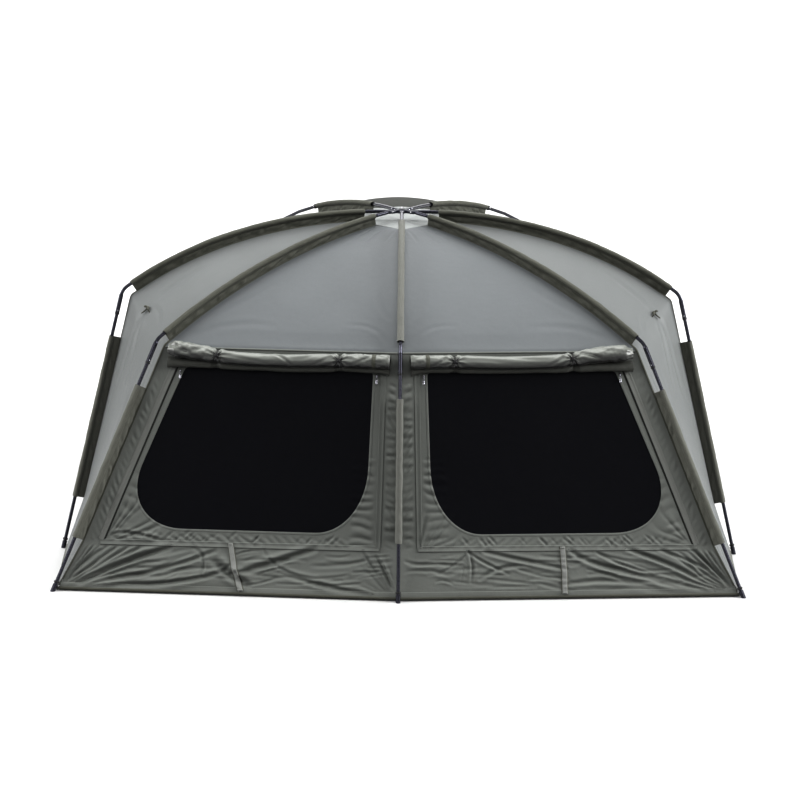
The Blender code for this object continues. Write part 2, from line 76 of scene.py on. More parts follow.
# Panel name, then the pole at its first edge and the pole at its second, anticlockwise from above
PANELS = {
    "front_right": ("front_centre", "front_right"),
    "side_right": ("front_right", "side_right"),
    "rear_side_right": ("side_right", "rear_right"),
    "rear": ("rear_right", "rear_left"),
    "rear_side_left": ("rear_left", "side_left"),
    "side_left": ("side_left", "front_left"),
    "front_left": ("front_left", "front_centre"),
}
FRONTS = ("front_left", "front_right")
GORES = {
    "side_left": ("side_left", "front_left"),
    "side_right": ("front_right", "side_right"),
    "rear_side_left": ("rear_left", "side_left"),
    "rear_side_right": ("side_right", "rear_right"),
    "rear": ("rear_right", "rear_left"),
}
# Arms whose ferrules are made bright, as a painted highlight
HIGHLIGHT_PAINTED_ARMS = ("front_centre", "rear_left", "rear_right")

# Window outline on a front wall: across is 0 at the centre pole, down is 0 at the roof seam
WINDOW_INNER = 0.105
WINDOW_OUTER_TOP = 0.877
WINDOW_OUTER_LOW = 0.905
WINDOW_HEAD = 0.085
WINDOW_SILL = 0.748
INNER_CORNER = (0.16, 0.27)
OUTER_CORNER = (0.21, 0.25)

# Peg straps and rolled covers
STRAP_ACROSS = {"front_left": (0.530, 0.460), "front_right": (0.516, 0.487)}
ROLL_RADIUS = 0.046
ROLL_TIES = {"left": (0.225, 0.775), "right": (0.195, 0.725)}
ROLL_BAND = {"left": 0.092, "right": 0.098}
# Folds of the rolls as points (along, up round the front) in metres, half width and depth
ROLL_FOLDS = {
    "left": [
        (((0.560, -0.035), (0.610, 0.020), (0.680, 0.062)), 0.009, 0.0060),
        (((0.420, 0.050), (0.480, 0.022), (0.560, 0.010)), 0.012, 0.0026),
        (((0.700, -0.020), (0.820, 0.000), (0.960, 0.012)), 0.011, 0.0030),
        (((0.330, 0.030), (0.380, 0.000), (0.440, -0.030)), 0.010, 0.0036),
        (((1.060, 0.050), (1.120, 0.010), (1.200, -0.010)), 0.012, 0.0070),
        (((1.090, -0.040), (1.160, -0.010), (1.270, 0.040)), 0.011, 0.0060),
        (((0.080, 0.060), (0.130, 0.020), (0.210, -0.020)), 0.010, 0.0050),
    ],
    "right": [
        (((0.300, 0.010), (0.420, 0.014), (0.560, 0.002)), 0.011, 0.0026),
        (((0.560, 0.040), (0.680, 0.025), (0.800, 0.020)), 0.012, 0.0030),
        (((0.780, -0.030), (0.840, 0.000), (0.900, 0.045)), 0.010, 0.0046),
        (((0.120, -0.035), (0.170, 0.000), (0.215, 0.040)), 0.009, 0.0050),
        (((0.960, 0.040), (1.040, 0.000), (1.100, -0.030)), 0.011, 0.0060),
        (((1.080, 0.050), (1.160, 0.015), (1.260, 0.000)), 0.012, 0.0050),
    ],
}
COVER_ENDS = (0.035, 0.955)
COVER_DOWN = 0.045
ROLL_GAP = 0.0035
ROLL_TURNS = 3.2
TURN_POINTS = 44
# Where the rolled cloth's loose end lies round the roll, in degrees up from its front
ROLL_START = 128
# Radii of a roll at its ends, ties, middle and shares of 0.012, 0.9, 0.965 and 0.985 along it
ROLL_SIZES = (0.038, 0.044, 0.042, 0.0395, 0.043, 0.0510, 0.050, 0.038, 0.030)
# Knot of a roll's tie as radii upwards; its arms round the roll as (along, up); its hanging tails as
# (along, down)
TIE_KNOT = (0.0040, 0.0078, 0.0096, 0.0102, 0.0096, 0.0078, 0.0040)
TIE_ARMS = ((-0.030, 0.022), (0.026, 0.024), (-0.026, -0.022), (0.032, -0.020))
TIE_TAILS = ((-0.010, 0.034), (0.013, 0.027))

# Folds on the front walls as points (across, down), half width and depth in metres
WALL_FOLDS = {
    "front_left": [
        (((0.983, 0.970), (0.968, 0.902), (0.931, 0.840)), 0.011, 0.006),
        (((0.950, 0.978), (0.836, 0.884), (0.716, 0.824)), 0.017, 0.011),
        (((0.861, 0.955), (0.707, 0.903), (0.572, 0.830)), 0.015, 0.008),
        (((0.900, 0.985), (0.620, 0.946), (0.513, 0.883)), 0.014, 0.007),
        (((0.477, 0.909), (0.378, 0.865), (0.262, 0.812)), 0.019, 0.010),
        (((0.356, 0.908), (0.231, 0.949), (0.082, 0.985)), 0.015, 0.007),
        (((0.110, 0.815), (0.085, 0.860), (0.061, 0.903)), 0.009, 0.005),
        (((0.070, 0.830), (0.040, 0.890), (0.018, 0.955)), 0.009, 0.005),
        (((0.560, 0.872), (0.499, 0.922), (0.440, 0.962)), 0.026, 0.012),
        (((0.915, 0.779), (0.860, 0.769), (0.740, 0.797)), 0.011, 0.006),
        (((0.640, 0.820), (0.600, 0.860), (0.590, 0.930)), 0.012, 0.004),
        (((0.420, 0.820), (0.330, 0.905), (0.170, 0.930)), 0.011, 0.004),
    ],
    "front_right": [
        (((0.218, 0.815), (0.225, 0.870), (0.215, 0.930)), 0.010, 0.005),
        (((0.218, 0.815), (0.175, 0.860), (0.120, 0.900)), 0.009, 0.004),
        (((0.218, 0.815), (0.260, 0.855), (0.330, 0.900)), 0.010, 0.005),
        (((0.270, 0.816), (0.373, 0.848), (0.510, 0.885)), 0.014, 0.008),
        (((0.243, 0.922), (0.300, 0.885), (0.370, 0.872)), 0.013, 0.006),
        (((0.540, 0.816), (0.616, 0.872), (0.780, 0.928)), 0.016, 0.009),
        (((0.620, 0.822), (0.680, 0.868), (0.760, 0.905)), 0.011, 0.006),
        (((0.720, 0.812), (0.819, 0.867), (0.900, 0.930)), 0.014, 0.008),
        (((0.820, 0.814), (0.880, 0.850), (0.950, 0.900)), 0.011, 0.006),
        (((0.918, 0.808), (0.955, 0.880), (0.985, 0.965)), 0.013, 0.008),
        (((0.480, 0.950), (0.620, 0.935), (0.760, 0.960)), 0.015, 0.005),
    ],
}
# Ripples: across from and to, down from and to, slant in degrees, wavelength and height in metres
WALL_RIPPLES = [
    (0.15, 0.88, 0.750, 0.802, 48.0, 0.040, 0.0042),
    (0.078, 0.165, 0.420, 0.800, 84.0, 0.052, 0.0064),
    (0.004, 0.050, 0.120, 0.800, 58.0, 0.045, 0.0080),
    (0.945, 0.990, 0.080, 0.800, 24.0, 0.034, 0.0030),
    (0.860, 0.925, 0.500, 0.800, 64.0, 0.066, 0.0040),
]

# Fans of long folds from a corner: its across and down, which way they run, the part of the wall they
# cross, folds in a radian, height and reach in metres
WALL_FANS = {
    "front_left": [
        ((1.000, 1.010), -1, 0.812, 1.0, 11.0, 0.0100, 1.15),
        ((0.000, 1.010), 1, 0.812, 1.0, 6.0, 0.0060, 0.34),
        ((0.930, 0.805), -1, 0.600, 0.800, 4.4, 0.0080, 0.46),
    ],
    "front_right": [
        ((1.000, 1.010), -1, 0.812, 1.0, 10.0, 0.0085, 0.95),
        ((0.218, 0.815), -1, 0.812, 1.0, 4.0, 0.0050, 0.22),
        ((0.930, 0.805), -1, 0.600, 0.800, 3.4, 0.0045, 0.34),
        ((0.060, 0.830), 1, 0.640, 0.800, 3.6, 0.0060, 0.40),
    ],
}

# Folds on the front roof panels, the side gores and the rear gores, given as on the walls
ROOF_FOLDS = [
    (((0.06, 0.93), (0.14, 0.86), (0.26, 0.84)), 0.016, 0.0016),
    (((0.05, 0.80), (0.11, 0.72), (0.15, 0.60)), 0.018, 0.0014),
    (((0.93, 0.93), (0.80, 0.87), (0.62, 0.86)), 0.022, 0.0016),
    (((0.95, 0.84), (0.88, 0.72), (0.84, 0.58)), 0.020, 0.0014),
    (((0.20, 0.03), (0.24, 0.09), (0.26, 0.17)), 0.010, 0.0016),
    (((0.55, 0.03), (0.56, 0.10), (0.55, 0.20)), 0.010, 0.0014),
    (((0.80, 0.03), (0.78, 0.09), (0.77, 0.16)), 0.010, 0.0014),
]

SIDE_FOLDS = [
    (((0.665, 0.484), (0.72, 0.55), (0.74, 0.66)), 0.020, 0.0050),
    (((0.655, 0.486), (0.60, 0.56), (0.52, 0.64)), 0.018, 0.0036),
    (((0.670, 0.478), (0.50, 0.47), (0.30, 0.49)), 0.016, 0.0030),
    (((0.680, 0.470), (0.74, 0.42), (0.80, 0.36)), 0.016, 0.0030),
    (((0.08, 0.50), (0.16, 0.58), (0.20, 0.74)), 0.020, 0.0045),
    (((0.06, 0.56), (0.10, 0.66), (0.12, 0.80)), 0.014, 0.0035),
    (((0.30, 0.56), (0.34, 0.68), (0.38, 0.84)), 0.026, 0.0035),
    (((0.88, 0.62), (0.90, 0.74), (0.92, 0.88)), 0.016, 0.0030),
    (((0.10, 0.97), (0.30, 0.92), (0.55, 0.90)), 0.014, 0.0040),
    (((0.90, 0.97), (0.70, 0.93), (0.50, 0.91)), 0.014, 0.0040),
]

REAR_FOLDS = [
    (((0.04, 0.97), (0.16, 0.90), (0.34, 0.86)), 0.018, 0.0070),
    (((0.96, 0.97), (0.84, 0.90), (0.66, 0.86)), 0.018, 0.0070),
    (((0.08, 0.98), (0.26, 0.95), (0.44, 0.93)), 0.014, 0.0050),
    (((0.92, 0.98), (0.74, 0.95), (0.56, 0.93)), 0.014, 0.0050),
    (((0.05, 0.52), (0.14, 0.60), (0.20, 0.72)), 0.024, 0.0050),
    (((0.95, 0.52), (0.86, 0.60), (0.80, 0.72)), 0.024, 0.0050),
    (((0.42, 0.97), (0.45, 0.90), (0.44, 0.82)), 0.013, 0.0035),
    (((0.62, 0.97), (0.60, 0.91), (0.62, 0.84)), 0.012, 0.0030),
    (((0.05, 0.45), (0.20, 0.44), (0.36, 0.46)), 0.020, 0.0035),
    (((0.95, 0.45), (0.80, 0.44), (0.64, 0.46)), 0.020, 0.0035),
]

# Pulls from a gore's pegged lower corners: which corner and way, folds in a radian, height and reach in
# metres; and how high above the ground they end
GROUND_FANS = [(0.0, 1, (7.0, 0.0050, 0.80)), (1.0, -1, (6.0, 0.0046, 0.70))]
GROUND_FAN_HEIGHT = 0.42

# Zips on a front wall: the (across, down) shares that each runs through, how far its flap lies from it in
# metres, and the flap's finish
ZIPS = {
    "outer": (((0.908, 0.050), (0.926, 0.500), (0.934, 0.797)), (0.0185, 0.0), "edging"),
    "inner": (((0.072, 0.050), (0.069, 0.799)), (-0.009, 0.0), "wall"),
    "low": (((0.060, 0.807), (0.940, 0.812)), (0.0, -0.0085), "wall"),
}
ZIP_PULLS = {"inner": 0.092, "outer": 0.890}
ZIP_PULL_DOWN = 0.103
ZIP_TAPE_LIFT = 0.0012
TOOTH_PITCH = 0.0042
TOOTH_SHIFT = 0.0011

# Sleeves: half the fin's thickness, where the fin meets the tube, the tube's half sizes and the turned ends
FIN_HALF = 0.0013
FIN_TOP = 0.0215
SLEEVE_HALF = (0.0192, 0.0158)
SLEEVE_HEM = 0.022

# Heights above the lower edge of the hem's middle and of the dark strip of painted shadow under the hem
HEM_UP = 0.027
PAINTED_HEM_SHADOW_UP = 0.0095

# Crown patch: how far out its corners lie on the sewn lines, its lift over them, and its middle
CROWN_DOWN = 0.012
CROWN_LIFT = 0.0024
CROWN_MIDDLE = HUB_HEIGHT - FIN_DEPTH + 0.002

# Knotted ties on the side gores, as a place (across, down)
SHOULDER_TIE = (0.668, 0.483)

# Rivet heads and bolts as (outwards, radius)
SOCKET_RIVET = ((0.0, 0.0034), (0.0012, 0.0032), (0.0022, 0.0014))
REAR_RIVET = ((0.0, 0.0052), (0.002, 0.0048), (0.0034, 0.0016))
HUB_BOLT = ((0.0, 0.0052), (0.0018, 0.0052), (0.0030, 0.0042), (0.0040, 0.0012))
# A hub arm's cheek plates as (radius, half height)
HUB_CHEEK = ((0.046, 0.003), (0.052, 0.0068), (0.066, 0.0088), (0.084, 0.0094), (0.097, 0.0086),
             (0.101, 0.005))

# Strips sewn on the cloth: (offset sideways, lift) across each
FLAP = [(-0.017, 0.0002), (-0.0165, 0.0020), (-0.012, 0.0030), (-0.009, 0.0018), (0.004, 0.0030),
        (0.014, 0.0058), (0.0165, 0.0056), (0.0160, 0.0042)]
BINDING = [(-0.0030, -0.0035), (-0.0040, 0.0000), (-0.0028, 0.0010), (0.002, 0.0013), (0.0085, 0.0011),
           (0.0105, 0.0008), (0.0110, 0.0002)]
HEM = [(-0.019, 0.0002), (-0.0185, 0.0018), (-0.016, 0.0024), (0.0, 0.0022), (0.012, 0.0028),
       (0.0185, 0.0016), (0.0190, -0.0006), (0.012, -0.0020)]
# The dark strip along the hem's lower edge, as painted shadow under the hem
PAINTED_HEM_SHADOW = [(-0.0090, 0.0004), (-0.0088, 0.0036), (-0.004, 0.0050), (0.003, 0.0044), (0.0085, 0.0010),
               (0.0060, -0.0030)]
ROOF_SEAM = [(-0.006, 0.0006), (-0.005, 0.003), (0.0, 0.0042), (0.005, 0.003), (0.006, 0.0004)]
STRAP = [(-0.0125, 0.0012), (-0.0145, 0.0055), (-0.0125, 0.0098), (-0.007, 0.0108), (0.0, 0.0120),
         (0.007, 0.0108), (0.0125, 0.0098), (0.0145, 0.0055), (0.0125, 0.0012)]
STRAP_BACKING = [(-0.0185, 0.0002), (-0.0195, 0.0022), (-0.0150, 0.0050), (0.0, 0.0040), (0.0150, 0.0050),
                 (0.0195, 0.0022), (0.0185, 0.0002)]
EDGE_BINDING = [(-0.0095, -0.0042), (-0.0075, -0.0012), (-0.004, 0.0012), (0.0, 0.0022), (0.004, 0.0012),
                (0.0075, -0.0012), (0.0095, -0.0042)]
# The slack edge under a rolled cover: (down the wall, lift) round its fold
SLACK_EDGE = [(0.060, 0.012), (0.074, 0.030), (0.090, 0.040), (0.106, 0.041), (0.117, 0.036), (0.1235, 0.027),
              (0.1225, 0.018), (0.114, 0.012), (0.100, 0.008), (0.088, 0.006)]

# Grid steps of the cloths
ROOF_STEP = 0.010
WALL_STEP = 0.0075
MESH_STEP = 0.014
MESH_LIFT = -0.003
SIDE_STEP = 0.011
REAR_STEP = 0.0165

# Seeds of each front's wrinkles and of its fine creases, and how many of those lie on the skirt and the sill
FRONT_SEEDS = {"left": 40, "right": 60}
CREASE_SEEDS = {"left": 7, "right": 8}
SKIRT_CREASES = 46
SILL_CREASES = 22

MATERIAL_SLOTS = {
    "roof": "roof_fabric", "gore": "roof_fabric", "rear": "roof_fabric", "wall": "wall_fabric",
    "sleeve": "sleeve_fabric", "crown": "crown_fabric", "mesh": "mesh", "webbing": "webbing",
}
# Finishes of the frame's own pieces that stay, by how their names start
FRAME_FINISHES = {"roof_pole_": "pole", "leg_pole_": "pole", "hub_body": "hub", "hub_pin": "silver"}
DUST_COLOUR = (0.15, 0.14, 0.115, 1.0)
DUST_HEIGHT = 0.16
UP = np.array((0.0, 0.0, 1.0))

# Camera, floor and light
CAMERA_BACK = 12.0
CAMERA_HEIGHT = 3.69
CAMERA_PITCH = 13.49
CAMERA_ROLL = 0.55
CAMERA_LENS = 88.695
CAMERA_SENSOR = 36.0
VIEW_GAMMA = 0.72
FLOOR_TONE = (0.66, 0.66, 0.66)
FLOOR_REACH = 220.0
FLOOR_DROP = 0.0012
BOWL_RADIUS = 60.0
BOWL_WIDTH = 60.0
BOWL_SLOPE = 0.58
BOWL_EASE = 12.0
# Elevation, azimuth from the front towards the left, strength, and angle across, in degrees
SUNS = {
    "key": (104.0, 0.0, 1.6, 45.0),
    "left": (20.0, 80.0, 3.0, 40.0),
    "right": (20.0, -80.0, 4.3, 40.0),
    "front": (38.0, 0.0, 0.55, 35.0),
    "back": (145.0, 0.0, 0.9, 50.0),
}
# The sky's strength at heights from straight below, -1, to straight above, 1
SKY = ((-1.0, 0.09), (-0.05, 0.11), (0.05, 0.23), (1.0, 0.72))


def unit(vector):
    vector = np.asarray(vector, float)
    return vector / np.linalg.norm(vector, axis=-1, keepdims=True)


def slope_way(degrees):
    return np.array((math.cos(math.radians(degrees)), math.sin(math.radians(degrees))))


def outer_side(way):
    """Unit normal in a pole's plane, on the side away from the inside of the tent."""
    way = np.asarray(way, float)
    return unit(np.stack((-way[..., 1], way[..., 0]), -1))


def in_space(azimuth, flat, sideways=0.0):
    """Points at (radius, height) in the vertical plane of a pole, moved sideways from that plane."""
    angle = math.radians(azimuth)
    out = np.array((math.sin(angle), -math.cos(angle), 0.0))
    side = np.array((math.cos(angle), math.sin(angle), 0.0))
    flat = np.asarray(flat, float)
    sideways = np.asarray(sideways, float)
    return flat[..., :1] * out + sideways[..., None] * side + flat[..., 1:] * UP


def smooth_step(x):
    x = np.clip(x, 0.0, 1.0)
    return x * x * (3 - 2 * x)


def between(x, low, high, soft):
    """1 between two values and 0 outside them, with soft ends."""
    return smooth_step((x - low) / soft) * smooth_step((high - x) / soft)


def pleat(phase):
    """Height over folds side by side, with round ridges and sharp valleys."""
    return 2.2 * np.abs(np.sin(phase / 2)) - 1.3


def bent(first, pull, last, count):
    """Points on a curve between two ends, drawn towards a third point."""
    share = np.linspace(0, 1, count)[:, None]
    return (1 - share) ** 2 * first + 2 * share * (1 - share) * pull + share**2 * last


def run_lengths(points):
    """Distances along a line of points, from 0 at the first."""
    return np.concatenate(([0.0], np.cumsum(np.linalg.norm(np.diff(points, axis=0), axis=-1))))


def way_along(path, closed=False):
    """Unit directions along a path."""
    return unit(np.roll(path, -1, axis=0) - np.roll(path, 1, axis=0) if closed else np.gradient(path, axis=0))


def noise(x, y, seed, cells=64):
    """Smooth seeded noise between -1 and 1, with about one bump to a unit."""
    table = np.random.default_rng(seed).uniform(-1, 1, (cells, cells))
    x, y = np.broadcast_arrays(np.asarray(x, float), np.asarray(y, float))
    i, j = np.floor(x).astype(int), np.floor(y).astype(int)
    near_x, near_y = i % cells, j % cells
    far_x, far_y = (i + 1) % cells, (j + 1) % cells
    share_x, share_y = smooth_step(x - i), smooth_step(y - j)
    near = table[near_x, near_y] * (1 - share_y) + table[near_x, far_y] * share_y
    far = table[far_x, near_y] * (1 - share_y) + table[far_x, far_y] * share_y
    return near * (1 - share_x) + far * share_x


class PoleLine:
    """The axis of one pole, and the line inside it to which the cloth is sewn."""

    def __init__(self, name):
        self.azimuth, radius, height, foot, start, end, self.sleeve_start, self.sleeve_end = POLES[name]
        self.start = np.array((HUB_ARM_START, HUB_HEIGHT))
        self.corner = np.array((radius, height))
        self.foot = np.array((foot, 0.0))
        self.side = in_space(self.azimuth, np.zeros(2), 1.0)
        self.roof_end_way = slope_way(end)
        self.leg_way = unit(self.foot - self.corner)
        turn = math.acos(float(self.roof_end_way @ self.leg_way))
        roof_end = self.corner - self.roof_end_way * ELBOW_RADIUS * math.tan(turn / 2)
        reach = np.linalg.norm(roof_end - self.start) / 3
        self.handles = (self.start, self.start + slope_way(start) * reach,
                        roof_end - self.roof_end_way * reach, roof_end)
        self.leg_length = float(np.linalg.norm(self.foot - self.corner))
        self.down = np.linspace(0.0, 2.0, 1601)
        self.cloth = self.sewn_line(self.down)

    def roof(self, t):
        """Points and directions on the roof curve, from 0 at the hub to 1 at the elbow."""
        a, b, c, d = self.handles
        t = np.asarray(t, float)[..., None]
        s = 1 - t
        point = a * s**3 + b * (3 * s * s * t) + c * (3 * s * t * t) + d * t**3
        return point, unit((b - a) * s * s + (c - b) * (2 * s * t) + (d - c) * t * t)

    def roof_at_radius(self, radius):
        t = np.linspace(0, 1, 2001)
        return float(np.interp(radius, self.roof(t)[0][:, 0], t))

    def leg(self, below):
        """Points and directions on the leg, at distances below the corner."""
        below = np.asarray(below, float)[..., None]
        return self.corner + below * self.leg_way, np.broadcast_to(self.leg_way, below.shape[:-1] + (2,))

    def sewn_line(self, down):
        """The cloth's edge as (radius, height): down runs 0 to 1 over the roof and 1 to 2 down the wall."""
        roof_side, leg_side = outer_side(self.roof_end_way), outer_side(self.leg_way)
        bisector = unit(roof_side + leg_side)
        corner = self.corner - bisector * (FIN_DEPTH / float(bisector @ leg_side))
        begin = self.roof_at_radius(self.sleeve_start - CROWN_MARGIN)
        point, way = self.roof(begin + (1 - begin) * np.clip(down, 0, 1))
        mix = np.clip(10 * down - 9, 0, 1)[:, None]
        roof = (point - outer_side(way) * FIN_DEPTH) * (1 - mix) + corner * mix
        knee = self.corner + self.leg_way * (self.leg_length - LEG_SLEEVE_STOP) - leg_side * FIN_DEPTH
        hem = np.array((self.foot[0] - HEM_OFFSET, 0.0))
        share = 1 - knee[1] / corner[1]
        wall = [np.interp(down - 1, (0.0, share, 1.0), (corner[k], knee[k], hem[k])) for k in (0, 1)]
        line = np.where((down < 1)[:, None], roof, np.stack(wall, -1))
        reach = 36
        kernel = np.exp(-0.5 * (np.arange(-reach, reach + 1) / 12.0) ** 2)
        kernel = kernel / kernel.sum()
        soft = [np.convolve(np.pad(line[:, k], reach, "edge"), kernel, "valid") for k in (0, 1)]
        near = np.exp(-(((down - 1) / 0.08) ** 2))[:, None]
        return line * (1 - near) + np.stack(soft, -1) * near

    def cloth_at(self, down):
        return np.stack([np.interp(down, self.down, self.cloth[:, k]) for k in (0, 1)], -1)


LINES = {name: PoleLine(name) for name in POLES}


def panel_point(panel, across, down):
    """A panel between the sewn lines of its two poles, hollow or full over the roof."""
    across, down = np.broadcast_arrays(np.asarray(across, float), np.asarray(down, float))
    first, second = (LINES[name] for name in PANELS[panel])
    begin = in_space(first.azimuth, first.cloth_at(down), np.full(down.shape, EDGE_CLEAR))
    end = in_space(second.azimuth, second.cloth_at(down), np.full(down.shape, -EDGE_CLEAR))
    point = begin + (end - begin) * across[..., None]
    width = np.linalg.norm(end - begin, axis=-1)
    depth = HOLLOW.get(panel, USUAL_HOLLOW) * np.sin(np.pi * np.clip(down, 0, 1)) * width
    point[..., 2] += np.where(down > 1, HEM_LIFT * (down - 1), -depth * across * (1 - across))
    return point


def rounded_point(panel, across, down):
    """A gore's surface: rounded over the shoulder between the poles, and sharp only beside them."""
    if panel in FRONTS:
        return panel_point(panel, across, down)
    across, down = np.broadcast_arrays(np.asarray(across, float), np.asarray(down, float))
    spread = 0.11 * 4 * across * (1 - across) * smooth_step(np.minimum(down, 2 - down) / 0.3)
    total, weights = 0.0, 0.0
    for step in np.linspace(-1, 1, 9):
        weight = math.exp(-1.5 * step * step)
        total = total + weight * panel_point(panel, across, down + spread * step)
        weights += weight
    return total / weights


def fold_depth(s, t, line, half_width):
    """A soft crease beside a line in flat cloth: a valley with a ridge on either side, thin at its ends."""
    line = np.asarray(line, float)
    line = bent(line[0], 2 * line[1] - (line[0] + line[2]) / 2, line[2], 9)
    lengths = np.linalg.norm(np.diff(line, axis=0), axis=1)
    reach = half_width * 4.5
    low, high = line.min(0) - reach, line.max(0) + reach
    near = (s > low[0]) & (s < high[0]) & (t > low[1]) & (t < high[1])
    depth = np.zeros(s.shape)
    if not near.any():
        return depth
    x, y = s[near], t[near]
    best = np.full(x.shape, 1e9)
    side = np.zeros(x.shape)
    along = np.zeros(x.shape)
    for k, length in enumerate(lengths):
        way = (line[k + 1] - line[k]) / length
        share = np.clip((x - line[k][0]) * way[0] + (y - line[k][1]) * way[1], 0, length)
        off_x, off_y = x - line[k][0] - way[0] * share, y - line[k][1] - way[1] * share
        gap = np.hypot(off_x, off_y)
        closer = gap < best
        best = np.where(closer, gap, best)
        side = np.where(closer, np.sign(way[0] * off_y - way[1] * off_x), side)
        along = np.where(closer, (lengths[:k].sum() + share) / lengths.sum(), along)
    offset = side * best / half_width
    thin = np.clip(np.sin(np.pi * (0.04 + 0.92 * along)), 0, 1) ** 0.6
    fade = smooth_step((4.5 - np.abs(offset)) / 1.5)
    ridges = 0.62 * np.exp(-(((offset - 1.55) / 1.1) ** 2)) + 0.30 * np.exp(-(((offset + 1.7) / 1.0) ** 2))
    depth[near] = thin * fade * (ridges - np.exp(-(offset**2)))
    return depth


class Cloth:
    """One panel with its own folds.

    Places on it are (s, t): metres from its edge nearer the front, and metres down. A fold is a line of
    places, its half width and depth; a ripple is the shares of the width and the places down it runs between,
    its slant, wavelength and height; a fan is its place, way, first and last place down, folds in a radian,
    height and reach.
    """

    def __init__(self, panel, low=0.0, high=2.0, seed=1):
        self.panel, self.low, self.high, self.seed = panel, low, high, seed
        self.mirrored = panel.endswith("left")
        self.folds, self.ripples, self.fans = [], [], []
        self.downs = np.linspace(low, high, 401)
        first, middle, last = (rounded_point(panel, u, self.downs) for u in (0.0, 0.5, 1.0))
        self.widths = np.linalg.norm(last - first, axis=-1)
        self.lengths = run_lengths(middle)
        self.length = float(self.lengths[-1])
        self.bulge, self.wave, self.pucker = 0.0, 0.002, 0.0012

    def flat(self, share, down):
        """(s, t) of the place at that share of the width, at that share of the way down."""
        t = np.interp(self.low + (self.high - self.low) * np.asarray(down, float), self.downs, self.lengths)
        return np.stack((np.asarray(share, float) * self.width_at(t), t), -1)

    def width_at(self, t):
        return np.interp(t, self.lengths, self.widths)

    def relief(self, s, t):
        """Height of the folds over the smooth panel."""
        width = self.width_at(t)
        edge = np.minimum(s, width - s)
        held = smooth_step(edge / 0.05) * smooth_step(t / 0.04) * smooth_step((self.length - t) / 0.05)
        height = self.wave * noise(s / 0.42 + 3.3, t / 0.33, self.seed)
        height = height + 0.5 * self.wave * noise(s / 0.16, t / 0.21 + 7.1, self.seed + 1)
        swell = np.sin(np.pi * np.clip(s / width, 0, 1)) * np.sin(np.pi * np.clip(t / self.length, 0, 1))
        height = height + self.bulge * swell
        seam = np.exp(-np.minimum(edge, self.length - t) / 0.035)
        slow, fast = noise(s / 0.2, t / 0.2, self.seed + 2), noise(s / 0.03, t / 0.022, self.seed + 3)
        height = height + self.pucker * seam * fast * (0.6 + 0.4 * slow)
        for place, half_width, depth in self.folds:
            height = height + depth * fold_depth(s, t, place, half_width)
        for s0, s1, t0, t1, slant, length, tall in self.ripples:
            inside = between(s / width, s0, s1, 0.02) * between(t, t0, t1, 0.03)
            across, down = slope_way(slant)
            phase = 2 * np.pi * (s * across + t * down) / length
            phase = phase + 2.4 * noise(s / 0.11, t / 0.09, self.seed + 4)
            uneven = 0.65 + 0.5 * noise(s / 0.07, t / 0.06, self.seed + 5)
            height = height + tall * inside * uneven * pleat(phase)
        for place, way, first, last, many, tall, reach in self.fans:
            away, rise = (s - place[0]) * way, place[1] - t
            far, turn = np.hypot(away, rise), np.arctan2(rise, np.maximum(away, 1e-4))
            inside = smooth_step(away / 0.03) * smooth_step(far / 0.12)
            inside = inside * smooth_step((reach - far) / (0.6 * reach)) * between(t, first, last, 0.02)
            phase = 2 * np.pi * (turn * many + 0.60 * noise(far / 0.20, turn * 4 + 5, self.seed + 8))
            uneven = 0.6 + 0.6 * noise(far / 0.26, turn * many / 1.4, self.seed + 9)
            height = height + tall * inside * uneven * pleat(phase)
        return height * held

    def cut(self):
        """The flat piece it is cut from: its size, widest girth by length down the middle, and its area."""
        rows = rounded_point(self.panel, np.linspace(0, 1, 17)[None, :], self.downs[:, None])
        widths = np.linalg.norm(np.diff(rows, axis=1), axis=-1).sum(1)
        area = float((widths[1:] + widths[:-1]) @ np.diff(self.lengths)) / 2
        return (float(widths.max()), self.length), area

    def point(self, s, t, lift=0.0):
        """The cloth's surface at (s, t), lifted off it along its outward normal."""
        s, t = np.broadcast_arrays(np.asarray(s, float), np.asarray(t, float))
        down = np.interp(t, self.lengths, self.downs)
        share = s / self.width_at(t)
        across = 1 - share if self.mirrored else share
        step = 0.004
        left = np.clip(across - step, 0, 1 - 2 * step)
        right = np.clip(across + step, 2 * step, 1)
        top = np.clip(down - step, self.low, self.high - 2 * step)
        foot = np.clip(down + step, self.low + 2 * step, self.high)
        over = rounded_point(self.panel, right, down) - rounded_point(self.panel, left, down)
        along = rounded_point(self.panel, across, foot) - rounded_point(self.panel, across, top)
        normal = unit(np.cross(along, over))
        height = self.relief(s, t) + np.asarray(lift, float)
        return rounded_point(self.panel, across, down) + normal * height[..., None]

    def add_folds(self, folds, deeper=1.0, narrower=1.0):
        """Folds given as shares of the width and of the way down."""
        for line, half_width, depth in folds:
            self.folds.append((self.flat(*np.array(line).T), half_width * narrower, depth * deeper))


def line_length(points):
    return float(run_lengths(points)[-1])


def grid_quads(rows, columns, closed=False):
    """Quads of a grid of points, row after row; closed joins the last row to the first."""
    row = np.arange(rows if closed else rows - 1)[:, None]
    column = np.arange(columns - 1)[None, :]
    here, after = row * columns + column, ((row + 1) % rows) * columns + column
    return np.stack((here, here + 1, after + 1, after), -1).reshape(-1, 4)


def smooth_mesh(name, points, faces, material):
    mesh = bpy.data.meshes.new(name)
    mesh.from_pydata(np.asarray(points).tolist(), [], faces.tolist() if hasattr(faces, "tolist") else faces)
    mesh.shade_smooth()
    mesh.materials.append(material)
    return mesh


def placed(name, data):
    thing = bpy.data.objects.new(name, data)
    bpy.context.scene.collection.objects.link(thing)
    return thing


